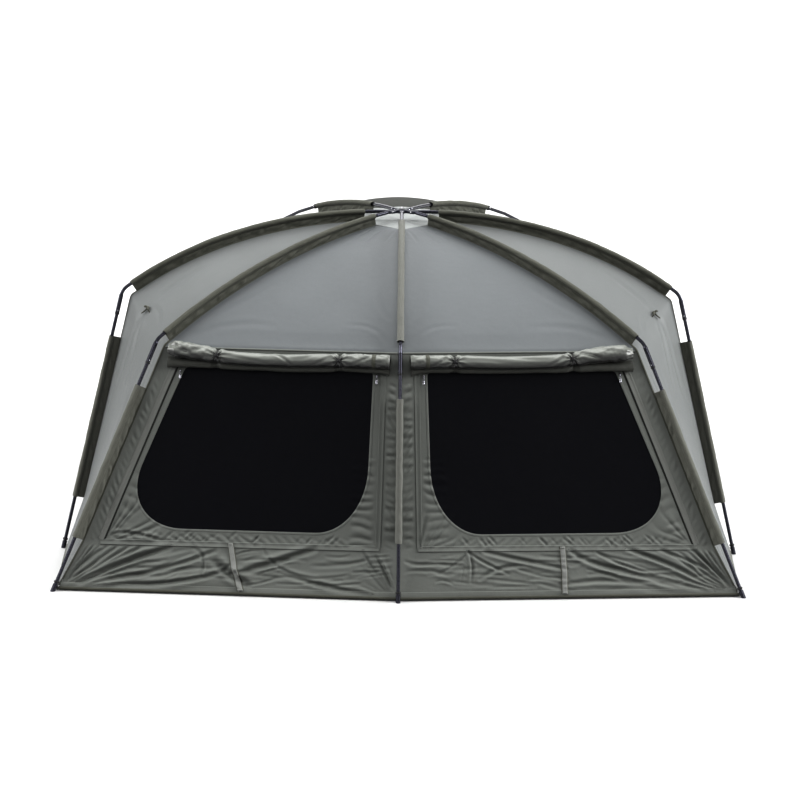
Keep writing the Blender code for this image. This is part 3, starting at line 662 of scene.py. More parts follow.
def add_piece(name, points, faces, finish, places=None, standing_for=(), slot=None):
    """A mesh about the hub's axis, moved to its place, riding on the tent's one body."""
    points = np.asarray(points, float).reshape(-1, 3) + HUB
    mesh = smooth_mesh(name, points, faces, MATERIALS[finish])
    if places is not None:
        layer = mesh.uv_layers.new(name="metres")
        corner = np.zeros(len(mesh.loops), np.int32)
        mesh.loops.foreach_get("vertex_index", corner)
        layer.data.foreach_set("uv", np.asarray(places, np.float32).reshape(-1, 2)[corner].ravel())
    thing = placed(name, mesh)
    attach(thing, "root")
    if standing_for:
        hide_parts(*standing_for)
    slot = slot or MATERIAL_SLOTS.get(finish)
    return thing


def add_grid(name, points, finish, closed=False, **more):
    """A piece from an array of points in rows and columns, its surface measured out in metres."""
    rows, columns = points.shape[:2]
    along = np.linalg.norm(np.diff(points, axis=0), axis=-1).mean(1)
    over = np.linalg.norm(np.diff(points, axis=1), axis=-1).mean(0)
    v, u = np.concatenate(([0.0], np.cumsum(along))), np.concatenate(([0.0], np.cumsum(over)))
    places = np.stack(np.meshgrid(u, v), -1)
    return add_piece(name, points, grid_quads(rows, columns, closed), finish, places, **more)


def joined(parts):
    """Several (points, faces) as one, for small pieces that share an object."""
    points, faces, count = [], [], 0
    for part_points, part_faces in parts:
        points.append(np.asarray(part_points, float).reshape(-1, 3))
        faces += [tuple(int(k) + count for k in face) for face in part_faces]
        count += len(points[-1])
    return np.concatenate(points), faces


def even(low, high, step):
    return np.linspace(low, high, max(2, int(round((high - low) / step)) + 1))


def node(tree, kind, links=(), **values):
    """A shader node with its values set by socket name and its links made from other sockets."""
    made = tree.nodes.new(kind)
    for name, value in values.items():
        if name in made.inputs:
            made.inputs[name].default_value = value
        else:
            setattr(made, name, value)
    for name, source in links:
        tree.links.new(source, made.inputs[name])
    return made


def shaded(name, roughness, metallic=0.0, **sockets):
    made = bpy.data.materials.new(name)
    made.use_nodes = True
    shader = made.node_tree.nodes["Principled BSDF"]
    shader.inputs["Roughness"].default_value = roughness
    shader.inputs["Metallic"].default_value = metallic
    for key, value in sockets.items():
        shader.inputs[key.replace("_", " ")].default_value = value
    return made, made.node_tree, shader


def grain(tree, vector, scale, detail, roughness=0.5):
    return node(tree, "ShaderNodeTexNoise", [("Vector", vector)], Scale=scale, Detail=detail,
                Roughness=roughness).outputs["Fac"]


def ranged(tree, value, before=(0.0, 1.0), after=(0.0, 1.0)):
    """A value stretched from one range to another."""
    made = node(tree, "ShaderNodeMapRange", [("Value", value)])
    for name, end in zip(("From Min", "From Max", "To Min", "To Max"), (*before, *after)):
        made.inputs[name].default_value = end
    return made.outputs["Result"]


def mixed(tree, first, second, share=1.0, blend="MIX"):
    """Two colours mixed or multiplied; each of them and the share may be a value or another socket."""
    made = node(tree, "ShaderNodeMix", data_type="RGBA", blend_type=blend)
    for number, value in ((0, share), (6, first), (7, second)):
        if isinstance(value, bpy.types.NodeSocket):
            tree.links.new(value, made.inputs[number])
        else:
            made.inputs[number].default_value = value
    return made.outputs[2]


def combined(tree, operation, *values):
    made = node(tree, "ShaderNodeMath", operation=operation)
    for socket, value in zip(made.inputs, values):
        tree.links.new(value, socket)
    return made.outputs[0]


def bumped(tree, height, strength, distance, under=None):
    """A normal roughened by a height, over another normal."""
    links = [("Height", height)] + ([] if under is None else [("Normal", under)])
    return node(tree, "ShaderNodeBump", links, Strength=strength, Distance=distance).outputs["Normal"]


def toned(tree, colour, drift, vector, scale):
    """Base colour that drifts between a darker and a lighter shade of one colour."""
    shades = [(*(channel * shade for channel in colour), 1.0) for shade in (1 - drift, 1 + drift)]
    return mixed(tree, *shades, share=grain(tree, vector, scale, 5.0, 0.6))


def fabric(name, colour, roughness=0.6, thread=0.0012, drift=0.08, weave=0.35, crumple=0.35, sheen=0.08,
           dust=0.12, coat=0.0, gloss=0.35, painted_overhead_light=0.0, shaded_below=-0.55, coat_ior=1.5):
    """Woven cloth: threads both ways, faint crumples, painted light from above and dust near the ground."""
    made, tree, shader = shaded(name, roughness, Sheen_Weight=sheen, Sheen_Roughness=0.45, Coat_Weight=coat,
                                Coat_Roughness=0.26, Coat_IOR=coat_ior, Specular_IOR_Level=gloss)
    places = node(tree, "ShaderNodeTexCoord")
    flat, whole = places.outputs["UV"], places.outputs["Object"]
    specks = ranged(tree, grain(tree, whole, 420.0, 2.0), after=(0.93, 1.07))
    specked = mixed(tree, toned(tree, colour, drift, whole, 2.6), specks, blend="MULTIPLY")
    # Painted light and shade: the colour grows lighter on faces turned up and darker on faces turned down, as
    # light from above would make it
    facing = node(tree, "ShaderNodeNewGeometry").outputs["Normal"]
    upwards = node(tree, "ShaderNodeSeparateXYZ", [("Vector", facing)]).outputs["Z"]
    overhead_shade_factor = ranged(tree, upwards, (shaded_below, 0.85), (1 - painted_overhead_light, 1 + 0.7 * painted_overhead_light))
    overhead_shaded_colour = mixed(tree, specked, overhead_shade_factor, blend="MULTIPLY")
    height = node(tree, "ShaderNodeSeparateXYZ", [("Vector", whole)]).outputs["Z"]
    patches = grain(tree, whole, 9.0, 6.0, 0.7)
    dusty = combined(tree, "MULTIPLY", ranged(tree, height, (0.0, DUST_HEIGHT), (dust, 0.0)), patches)
    tree.links.new(mixed(tree, overhead_shaded_colour, DUST_COLOUR, dusty), shader.inputs["Base Color"])
    waves = [
        node(tree, "ShaderNodeTexWave", [("Vector", flat)], bands_direction=direction, Scale=0.314 / thread,
             Distortion=0.6, Detail=0.0).outputs["Fac"]
        for direction in ("X", "Y")
    ]
    threads = bumped(tree, combined(tree, "MAXIMUM", *waves), weave, thread * 0.25)
    crumples = bumped(tree, grain(tree, whole, 26.0, 4.0, 0.55), crumple, 0.004, threads)
    tree.links.new(crumples, shader.inputs["Normal"])
    worn = ranged(tree, patches, after=(roughness - 0.07, roughness + 0.07))
    tree.links.new(worn, shader.inputs["Roughness"])
    return made


def hard(name, colour, roughness, metallic, marks=180.0, drift=0.12, dent=0.0002, coat=0.0):
    """Metal or moulded plastic with a fine grain, uneven gloss and slight marks."""
    made, tree, shader = shaded(name, roughness, metallic, Coat_Weight=coat, Coat_Roughness=0.15)
    whole = node(tree, "ShaderNodeTexCoord").outputs["Object"]
    tree.links.new(toned(tree, colour, drift, whole, 14.0), shader.inputs["Base Color"])
    scratches = grain(tree, whole, marks, 4.0)
    gloss = ranged(tree, scratches, after=(max(0.05, roughness - 0.1), roughness + 0.1))
    tree.links.new(gloss, shader.inputs["Roughness"])
    tree.links.new(bumped(tree, scratches, 0.3, dent), shader.inputs["Normal"])
    return made


MATERIALS = {
    # The wall, sleeve and cover cloths get painted light and shade from above: lighter on upward faces, darker
    # on downward ones
    "roof": fabric("coated_grey_cloth", (0.160, 0.171, 0.177), 0.50, crumple=0.25, coat=0.08),
    # The gores use the roof's cloth painted lighter: painted light
    "gore": fabric("light_painted_grey_cloth", (0.205, 0.214, 0.213), 0.50, crumple=0.25, coat=0.08),
    "wall": fabric("olive_grey_cloth", (0.161, 0.169, 0.157), 0.62, crumple=0.45, painted_overhead_light=0.42),
    "sleeve": fabric("dark_olive_cloth", (0.088, 0.090, 0.074), 0.66, thread=0.0015, crumple=0.5,
                     painted_overhead_light=0.2),
    # The leg sleeves use the sleeve cloth painted lighter: painted light
    "leg": fabric("light_painted_olive_cloth", (0.140, 0.142, 0.123), 0.66, thread=0.0015, crumple=0.5),
    "spine": fabric("olive_cloth", (0.170, 0.173, 0.158), 0.62, thread=0.0015, crumple=0.5),
    # The rear gore uses the roof's cloth painted darker: painted shade
    "rear": fabric("shade_painted_grey_cloth", (0.085, 0.087, 0.081), 0.75, crumple=0.45, sheen=0.0, gloss=0.15),
    "crown": fabric("pale_grey_cloth", (0.33, 0.345, 0.340), 0.55, crumple=0.4),
    "cover": fabric("coated_olive_cloth", (0.128, 0.134, 0.122), 0.40, crumple=0.6, coat=0.4, gloss=0.5,
                    painted_overhead_light=0.90, shaded_below=-0.34, coat_ior=1.65),
    "slack": fabric("shaded_olive_cloth", (0.064, 0.066, 0.058), 0.55, crumple=0.6, coat=0.1),
    # Black insect mesh, made opaque and near black so that it also paints the shade of the dark inside behind
    # it
    "mesh": fabric("black_mesh_and_painted_inner_shade", (0.0050, 0.0053, 0.0078), 0.60, thread=0.0018, weave=0.5, dust=0.0,
                   sheen=0.0, gloss=0.10),
    "webbing": fabric("grey_webbing", (0.262, 0.268, 0.256), 0.75, thread=0.0022, weave=0.9, crumple=0.2),
    "edging": fabric("mid_grey_binding", (0.190, 0.195, 0.183), 0.6, thread=0.0014, weave=0.7, crumple=0.3),
    "zip": fabric("black_zip_tape", (0.036, 0.037, 0.033), weave=0.9, dust=0.1, gloss=0.2),
    "pole": hard("dark_anodised_tube", (0.060, 0.060, 0.074), 0.28, 0.9),
    "arm": hard("bright_tube", (0.25, 0.25, 0.27), 0.26, 1.0, drift=0.06),
    "silver": hard("bright_zinc", (0.68, 0.68, 0.70), 0.22, 1.0, drift=0.06),
    "hub": hard("navy_moulding", (0.016, 0.018, 0.034), 0.34, 0.0, marks=700.0, dent=0.0001, coat=0.25),
    "black": hard("black_moulding", (0.012, 0.012, 0.013), 0.42, 0.0, marks=600.0),
}


def smooth_path(points, radius, step):
    """A path of (s, t) with rounded corners and evenly spaced points, closed where its ends meet."""
    points = np.asarray(points, float)
    closed = np.allclose(points[0], points[-1])
    last = len(points) - 1
    fine = []
    for k in range(last if closed else last + 1):
        if not closed and k in (0, last):
            fine.append(points[k][None])
            continue
        before, here, after = points[(k - 1) % last if closed else k - 1], points[k], points[k + 1]
        trim_in = min(radius, 0.45 * np.linalg.norm(here - before))
        trim_out = min(radius, 0.45 * np.linalg.norm(after - here))
        fine.append(bent(here + unit(before - here) * trim_in, here, here + unit(after - here) * trim_out, 7))
    fine = np.concatenate(fine)
    if closed:
        fine = np.concatenate((fine, fine[:1]))
    lengths = run_lengths(fine)
    spots = even(0.0, lengths[-1], step)
    path = np.stack([np.interp(spots, lengths, fine[:, k]) for k in (0, 1)], -1)
    return path[:-1] if closed else path


def path_on(cloth, spots, radius, step):
    """A smooth path through places given as shares of the cloth's width and of the way down it."""
    return smooth_path(cloth.flat(*np.array(spots).T), radius, step)


def sideways_of(path, closed=False):
    """Unit directions to the left of a path on flat cloth: downwards for a path away from the front pole."""
    way = way_along(path, closed)
    return np.stack((-way[:, 1], way[:, 0]), -1)


def ribbon(cloth, path, profile, closed=False):
    """Points of a strip sewn along a path of (s, t): its profile is (offset sideways, lift) pairs."""
    aside = sideways_of(path, closed)
    profile = np.asarray(profile, float)
    places = path[:, None] + aside[:, None] * profile[None, :, :1]
    return cloth.point(places[..., 0], places[..., 1], np.broadcast_to(profile[None, :, 1], places.shape[:2]))


def boxes(centres, along, over, half):
    """Many small blocks with bevelled tops, from their middles, directions and half sizes."""
    up = unit(np.cross(along, over))
    points = []
    for z, shrink in ((-1, 1), (0.4, 1), (1, 0.6)):
        for x, y in ((-1, -1), (1, -1), (1, 1), (-1, 1)):
            side = along * (x * half[0] * shrink) + over * (y * half[1] * shrink)
            points.append(centres + side + up * (z * half[2]))
    points = np.stack(points, 1).reshape(-1, 3)
    faces = [(0, 3, 2, 1), (8, 9, 10, 11)]
    for low in (0, 4):
        faces += [(low + k, low + (k + 1) % 4, low + 4 + (k + 1) % 4, low + 4 + k) for k in range(4)]
    faces = np.array(faces)[None] + (np.arange(len(centres)) * 12)[:, None, None]
    return points, faces.reshape(-1, 4)


def ringed(rows, sides, closed=False):
    """Faces round a bar whose rows of points each hold that many, with end caps unless it closes."""
    faces = []
    for row in range(rows if closed else rows - 1):
        here, after = row * sides, (row + 1) % rows * sides
        for side in range(sides):
            other = (side + 1) % sides
            faces.append((here + side, here + other, after + other, after + side))
    if not closed:
        faces += [tuple(range(sides))[::-1], tuple((rows - 1) * sides + k for k in range(sides))]
    return faces


def flat_bar(path, half_width, half_thick):
    """A four-cornered bar along points, as (points, faces), from vectors of half its width and thickness."""
    corners = [path - half_width - half_thick, path + half_width - half_thick,
               path + half_width + half_thick, path - half_width + half_thick]
    return np.stack(corners, 1), ringed(len(path), 4)


def tube(path, radius, sides=10, closed=False, up=UP):
    """A round bar along points in space, as (points, faces); its radius may change along it."""
    path = np.asarray(path, float)
    radius = np.broadcast_to(np.asarray(radius, float), (len(path),))
    way = way_along(path, closed)
    over = np.cross(way, np.broadcast_to(np.asarray(up, float), path.shape))
    weak = np.linalg.norm(over, axis=1) < 1e-3
    over[weak] = np.cross(way[weak], np.array((0.31, 0.95, 0.05)))
    over = unit(over)
    rise = np.cross(over, way)
    angle = np.linspace(0, 2 * np.pi, sides, endpoint=False)
    ring = over[:, None] * np.cos(angle)[None, :, None] + rise[:, None] * np.sin(angle)[None, :, None]
    points = path[:, None] + ring * radius[:, None, None]
    return points.reshape(-1, 3), ringed(len(path), sides, closed)


def loop(centre, first, second, size):
    """Points round an oval in the plane of two unit directions."""
    angle = np.linspace(0, 2 * np.pi, 28, endpoint=False)[:, None]
    first, second = np.asarray(first) * size[0], np.asarray(second) * size[1]
    return np.asarray(centre) + first * np.cos(angle) + second * np.sin(angle)


def rivet_pair(middle, side, gap, profile, sides, up):
    """Rivet heads on either side of a bar; their profile is (outwards, radius) pairs."""
    outwards, radius = np.array(profile).T
    return [tube(middle + side * sign * (gap + outwards[:, None]), radius, sides, up=up) for sign in (-1, 1)]


def add_parts(name, parts, finish, **more):
    points, faces = joined(parts)
    return add_piece(name, points, faces, finish, **more)


def frame_at(cloth, s, t, lift=0.0):
    """Where a small piece sits on the cloth: its middle, and the ways from the front pole, down and out."""
    spot = cloth.point(np.array([s, s + 0.01, s]), np.array([t, t, t + 0.01]), lift)
    over, down = unit(spot[1] - spot[0]), unit(spot[2] - spot[0])
    out = unit(np.cross(down, over))
    return spot[0], over, down, -out if cloth.mirrored else out


def cloth_places(cloth, step):
    """A grid of (s, t) over a whole panel, from edge to edge."""
    t = even(0.0, cloth.length, step)[:, None]
    share = even(0.0, 1.0, step / cloth.widths.max())[None, :]
    return np.broadcast_arrays(share * cloth.width_at(t), t)


def spread_cloth(name, cloth, finish, step, standing_for):
    s, t = cloth_places(cloth, step)
    return add_piece(name, cloth.point(s, t), grid_quads(*s.shape), finish, np.stack((s, t), -1),
                     standing_for=standing_for)


def window_outline(cloth):
    """The window's edge as a closed path of (s, t), from its upper outer corner towards the front pole."""
    low_inner = (WINDOW_INNER + INNER_CORNER[0], WINDOW_SILL - INNER_CORNER[1])
    low_outer = (WINDOW_OUTER_LOW - OUTER_CORNER[0], WINDOW_SILL - OUTER_CORNER[1])
    spots = [(WINDOW_OUTER_TOP, WINDOW_HEAD), (WINDOW_INNER, WINDOW_HEAD)]
    for centre, size, first, last in ((low_inner, INNER_CORNER, 180, 90), (low_outer, OUTER_CORNER, 90, 0)):
        for angle in np.radians(np.linspace(first, last, 15)):
            spots.append((centre[0] + size[0] * math.cos(angle), centre[1] + size[1] * math.sin(angle)))
    return path_on(cloth, spots + spots[:1], 0.03, 0.008)


def is_inside(x, y, outline):
    inside = np.zeros(np.shape(x), bool)
    for (x0, y0), (x1, y1) in zip(outline, np.roll(outline, -1, axis=0)):
        if y0 != y1:
            crossing = (x1 - x0) * (y - y0) / (y1 - y0) + x0
            inside ^= ((y0 > y) != (y1 > y)) & (x < crossing)
    return inside


def cut_wall(name, cloth, outline, keep_inside, finish, step, standing_for, lift=0.0):
    """A wall's grid cut at the window's edge: the cloth round it, or the mesh that fills it."""
    s, t = cloth_places(cloth, step)
    faces = grid_quads(*s.shape)
    s, t = s.ravel().copy(), t.ravel().copy()
    wanted = is_inside(s, t, outline) == keep_inside
    faces = faces[wanted[faces].any(1)]
    for k in np.unique(faces[~wanted[faces]]):
        nearest = outline[np.argmin((outline[:, 0] - s[k]) ** 2 + (outline[:, 1] - t[k]) ** 2)]
        s[k], t[k] = nearest
    used, faces = np.unique(faces, return_inverse=True)
    s, t = s[used], t[used]
    return add_piece(name, cloth.point(s, t, lift), faces.reshape(-1, 4), finish, np.stack((s, t), -1),
                     standing_for=standing_for)


def sewn_strip(name, cloth, path, profile, finish, closed=False, **more):
    return add_grid(name, ribbon(cloth, path, profile, closed), finish, closed=closed, **more)


def zip_line(name, cloth, path):
    """The tape and teeth of a closed zip."""
    low, lift = ZIP_TAPE_LIFT * 0.3, ZIP_TAPE_LIFT
    profile = [(-0.0085, low), (-0.008, lift), (0.008, lift), (0.0085, low)]
    sewn_strip("zip_tape_" + name, cloth, path, profile, "zip")
    spots = smooth_path(path, 0.0, TOOTH_PITCH)
    centres = cloth.point(spots[:, 0], spots[:, 1], lift * 2)
    along = way_along(centres)
    aside = spots + sideways_of(spots) * 0.003
    over = unit(cloth.point(aside[:, 0], aside[:, 1], lift * 2) - centres)
    over = unit(over - along * (over * along).sum(1, keepdims=True))
    shift = np.where(np.arange(len(centres)) % 2, 1, -1)[:, None] * TOOTH_SHIFT
    points, faces = boxes(centres + over * shift, along, over, (0.0012, 0.0026, 0.0010))
    add_piece("zip_teeth_" + name, points, faces, "black")


def zip_pull(name, cloth, s, t):
    """A slider with its bail, a ring, and a long tab hanging down."""
    middle, over, down, out = frame_at(cloth, s, t, 0.006)
    body = middle + down * np.array([-0.008, -0.006, 0.0, 0.005, 0.009])[:, None]
    bail = loop(middle + out * 0.006 + down * 0.004, down, out, (0.008, 0.0045))
    top = middle + out * 0.007 + down * 0.012
    ring = loop(top + down * 0.004, over, down, (0.0052, 0.0065))
    length = np.linspace(0.009, 0.036, 8)[:, None]
    width = np.array([0.0040, 0.0062, 0.0066, 0.0060, 0.0058, 0.0064, 0.0072, 0.0048])[:, None]
    add_parts("zip_pull_" + name, [
        tube(body, [0.0035, 0.0058, 0.0052, 0.0060, 0.0040], 12, up=out),
        tube(bail, 0.0012, 8, True, up=over),
        tube(ring, 0.0013, 8, True, up=out),
        flat_bar(top + down * length, over * width, out * 0.0011),
    ], "arm")


def sleeve_section():
    """A sleeve's section as (sideways, outwards): up one side of the fin, round the pole and down again."""
    left = [(-FIN_HALF, y) for y in np.linspace(-FIN_DEPTH - 0.001, -FIN_TOP, 7)] + [(-0.0022, -0.0182)]
    ring = [(SLEEVE_HALF[0] * math.cos(a), SLEEVE_HALF[1] * math.sin(a))
            for a in np.radians(np.linspace(-104, -436, 27))]
    return np.array(left + ring + [(-x, y) for x, y in reversed(left)])


def add_sleeve(name, line, points, ways, finish, standing_for, seed):
    """A sewn sleeve: a slack tube of cloth round the pole, and the fin by which it holds the panels."""
    lengths = run_lengths(points)
    total = lengths[-1]
    along = np.concatenate(([SLEEVE_HEM, 0.0012, 0.0, 0.0015], even(0.003, total - 0.003, 0.009),
                            [total - 0.0015, total, total - 0.0012, total - SLEEVE_HEM]))
    tuck = np.zeros(len(along))
    tuck[[0, 1, -2, -1]], tuck[[2, -3]] = -0.0022, -0.0008
    x, y = sleeve_section().T[:, None]
    centre, way = (np.stack([np.interp(along, lengths, column) for column in rows.T], -1)
                   for rows in (points, ways))
    way = unit(way)
    along, tuck = along[:, None], tuck[:, None]
    ring = y > -0.019
    angle = np.arctan2(y, x)
    near_end = np.minimum(along, total - along)
    slack = 1 + 0.07 * noise(along / 0.075, angle * 1.1 + 9, seed)
    slack = slack + 0.05 * noise(along / 0.022, angle * 2 + 9, seed + 1)
    slack = slack + 0.05 * np.exp(-((near_end - SLEEVE_HEM) / 0.004) ** 2) * (near_end > 0.001)
    size = np.where(ring, slack + tuck / 0.017, 1.0)
    fin = np.clip((y + FIN_DEPTH) / (FIN_DEPTH - FIN_TOP), 0, 1)
    sway = 0.0088 * noise(along / 0.036 + fin * 1.8, fin * 0.9, seed + 2)
    sway = sway + 0.0046 * noise(along / 0.017 + fin * 1.2, fin, seed + 3)
    sway = sway * np.sin(np.pi * fin) * smooth_step(near_end / 0.03)
    squeeze = np.where(ring, 1.0, 1 + tuck * 180)
    flat = centre[:, None] + outer_side(way)[:, None] * (y * size)[..., None]
    grid = in_space(line.azimuth, flat, x * size * squeeze + np.where(ring, 0.0, sway))
    return add_grid(name, grid, finish, standing_for=standing_for, slot="sleeve_fabric")


def add_sleeves():
    for number, (name, line) in enumerate(LINES.items()):
        first, last = line.roof_at_radius(line.sleeve_start), line.roof_at_radius(line.sleeve_end)
        below = np.linspace(LEG_SLEEVE_START, line.leg_length - LEG_SLEEVE_STOP, 60)
        runs = (("roof", line.roof(np.linspace(first, last, 200)), "sleeve", 100),
                ("leg", line.leg(below), "leg", 200))
        for part, (points, ways), finish, seed in runs:
            piece = add_sleeve(f"sleeve_{part}_{name}", line, points, ways,
                               "spine" if name == "front_centre" else finish, [f"{part}_sleeve_{name}"],
                               seed + 10 * number)


def add_edge_bindings():
    """Binding over the seam where two panels meet beside each pole."""
    aside, lift = np.array(EDGE_BINDING).T
    for name, line in LINES.items():
        flat = line.cloth_at(np.linspace(0.0, 1.995, 330))
        rows = flat[:, None] + outer_side(way_along(flat))[:, None] * lift[None, :, None]
        grid = in_space(line.azimuth, rows, np.broadcast_to(aside, rows.shape[:2]))
        grid[..., 2] = np.maximum(grid[..., 2], 0.002)
        add_grid("edge_binding_" + name, grid, "wall" if name == "front_centre" else "sleeve")


def add_crown(seed=31):
    """The reinforcing patch under the hub, sewn over the ends of all the panels."""
    corners = [in_space(line.azimuth, line.cloth_at(np.array([CROWN_DOWN]))[0] + np.array((0.0, CROWN_LIFT)))
               for line in sorted(LINES.values(), key=lambda line: line.azimuth)]
    share = np.linspace(0, 1, 28, endpoint=False)[:, None]
    pull = 4 * share * (1 - share)
    drawn_in, lift = 1 - pull * np.array((0.03, 0.03, 0.0)), pull * np.array((0.0, 0.0, 0.0005))
    outline = np.concatenate([(here * (1 - share) + there * share) * drawn_in + lift
                              for here, there in zip(corners, corners[1:] + corners[:1])])
    part = np.concatenate((np.linspace(0.03, 0.985, 40), (1.0, 1.0)))[:, None]
    x, y = outline[:, 0] * part, outline[:, 1] * part
    z = CROWN_MIDDLE + (outline[:, 2] - CROWN_MIDDLE) * part**1.3
    crease = noise(np.arctan2(y, x) * 6.0 + 20, np.hypot(x, y) / 0.10, seed)
    z = z + 0.0022 * crease * np.sin(np.pi * np.minimum(part, 0.985))
    z = z + np.where((part > 0.90) & (part < 0.99), 0.0016, 0.0)
    z[-1] -= 0.0035
    grid = np.stack((x, y, z), -1)
    grid = np.concatenate((grid, grid[:, :1]), axis=1)
    piece = add_grid("cloth_crown", grid, "crown", standing_for=["crown_patch"])


def roll_frame(cloth, shares):
    """Middles and directions of a rolled cover in front of the wall, at shares of the way along it."""
    across = COVER_ENDS[0] + (COVER_ENDS[1] - COVER_ENDS[0]) * shares
    s, t = cloth.flat(across, np.full(across.shape, COVER_DOWN)).T
    base = cloth.point(s, t)
    over = unit(base[-1] - base[0])
    up = unit((cloth.point(s, t - 0.01) - base).mean(0))
    up = unit(up - over * float(up @ over))
    out = unit(np.cross(over, up))
    if out[1] > 0:
        out = -out
    middle = base[0] + (base[-1] - base[0]) * shares[:, None] + out * (ROLL_RADIUS + ROLL_GAP)
    return middle, over, up, out


def creased(x, y, seed):
    """Crumples with rounded ridges and sharp valleys, between about -1 and 1."""
    coarse, fine = noise(x, y, seed), noise(2.3 * x + 5, 2.3 * y, seed + 1)
    return 2.0 * np.abs(coarse) - 0.9 + 0.5 * (2.0 * np.abs(fine) - 0.8)


def roll_relief(x, y, ties, folds, seed):
    """Puckers of a rolled cover: x runs along it and y round it, upwards from the middle of its front."""
    height = 0.0016 * noise(x / 0.16, y / 0.05, seed)
    height = height + 0.0011 * noise(x / 0.05 + y / 0.04, y / 0.03, seed + 1)
    for number, tie in enumerate(ties):
        dx = x - tie
        far, turn = np.hypot(dx, y * 0.8), np.arctan2(y * 0.8, np.abs(dx)) * np.where(dx > 0, 1, 1.13)
        uneven = 0.8 * noise(x / 0.07, y / 0.04, seed + 2 + number)
        star = 0.9 - 2.2 * np.abs(np.sin(4.5 * turn + 0.5 + uneven))
        height = height + 0.0120 * np.exp(-far / 0.040) * star
    outer = smooth_step((x - ties[1]) / 0.09)
    inner = smooth_step((ties[0] - x) / 0.10)
    rough = 0.0044 * outer + 0.0034 * inner
    height = height + rough * creased(x / 0.060 + y / 0.11, y / 0.034 - x / 0.13, seed + 6)
    for line, half_width, depth in folds:
        height = height + depth * fold_depth(x, y, line, half_width)
    return height


def tie_parts(spot, over, up, out):
    """A tie round a roll: two cords, a knot in front, its arms round the roll and its hanging tails."""
    parts = [tube(loop(spot, out, up, (0.0325, 0.0315)) + over * shift, 0.0016, 8, True, up=over)
             for shift in (-0.003, 0.003)]
    front = spot + out * 0.0345
    knot = front + up * np.linspace(-0.011, 0.011, len(TIE_KNOT))[:, None]
    parts.append(tube(knot, TIE_KNOT, 12, up=over))
    run = np.linspace(0.08, 1, 9)[:, None]
    for way, rise in TIE_ARMS:
        arm = spot + over * way * run + up * rise * run + out * np.sqrt(0.0390**2 - (rise * run) ** 2)
        parts.append(tube(arm, np.interp(run[:, 0], (0, 0.5, 1), (0.0044, 0.0034, 0.0012)), 8, up=out))
    run = np.linspace(0, 1, 9)[:, None]
    for way, drop in TIE_TAILS:
        tail = front - up * (0.008 + drop * run) + over * way * run**1.5 + out * 0.010 * np.sin(np.pi * run)
        parts.append(tube(tail, np.interp(run[:, 0], (0, 0.8, 1), (0.0028, 0.0034, 0.0022)), 8, up=out))
    return parts


def add_rolled_cover(side, cloth, seed):
    """The window cover wound up under the roof seam and pinched by two ties; its height is that hung open."""
    length = cloth.width_at(0.06) * (COVER_ENDS[1] - COVER_ENDS[0])
    ends = np.array([0.0, 0.0012, 0.003])
    shares = np.concatenate((ends, even(0.006, 0.994, 0.0055 / length), 1 - ends[::-1]))
    middle, over, up, out = roll_frame(cloth, shares)
    share, ties = shares[:, None], ROLL_TIES[side]
    turns = np.linspace(0.0, ROLL_TURNS, int(ROLL_TURNS * TURN_POINTS) + 1)[None, :]
    spin = 2 * np.pi * turns
    angle = math.radians(ROLL_START) - spin
    waist = np.exp(-((np.min([np.abs(share - tie) for tie in ties], axis=0) * length / 0.013) ** 2))
    size = np.interp(share, (0.0, 0.012, ties[0], 0.5, ties[1], 0.9, 0.965, 0.985, 1.0), ROLL_SIZES)
    x, y = np.broadcast_arrays(share * length, angle * ROLL_RADIUS)
    relief = roll_relief(x, y, [tie * length for tie in ties], ROLL_FOLDS[side], seed)
    skin = np.clip(1.1 - turns * 0.9, 0.12, 1)
    reach = size * (1 - 0.20 * waist) - 0.0058 * (1 - 0.45 * waist) * turns + relief * skin
    flare = np.exp(-np.minimum(share, 1 - share) * length / 0.02)
    reach = np.clip(reach + 0.0030 * flare * np.sin(spin * 2 + 1.0), 0.006, ROLL_RADIUS + 0.008)
    low = np.clip((share - ties[0]) / (ties[1] - ties[0]), 0, 1)
    sag = -0.010 * np.sin(np.pi * low) ** 1.3 - 0.004 + 0.040 * smooth_step((share - ties[1] + 0.10) / 0.32)
    off, rise = np.maximum(reach * np.cos(angle), -ROLL_RADIUS), reach * 0.97 * np.sin(angle) + sag
    grid = middle[:, None] + out * off[..., None] + up * rise[..., None]
    piece = add_grid("cover_roll_front_" + side, grid, "cover", standing_for=["window_cover_front_" + side],
                     slot="wall_fabric")
    parts = []
    for tie in ties:
        spot = roll_frame(cloth, np.array([0.0, tie, 1.0]))[0][1] + up * np.interp(tie, shares, sag[:, 0])
        parts += tie_parts(spot, over, up, out)
    add_parts("window_ties_" + side, parts, "black")
    first = int(np.argmin(np.abs(shares * length - ROLL_BAND[side]))) - 2
    under = grid[first:first + 5, 2:int(0.74 * TURN_POINTS)]
    lift = np.array((0.0012, 0.0026, 0.0028, 0.0026, 0.0012))[:, None, None]
    add_grid("cover_band_" + side, under + unit(under - middle[first:first + 5, None]) * lift, "sleeve")


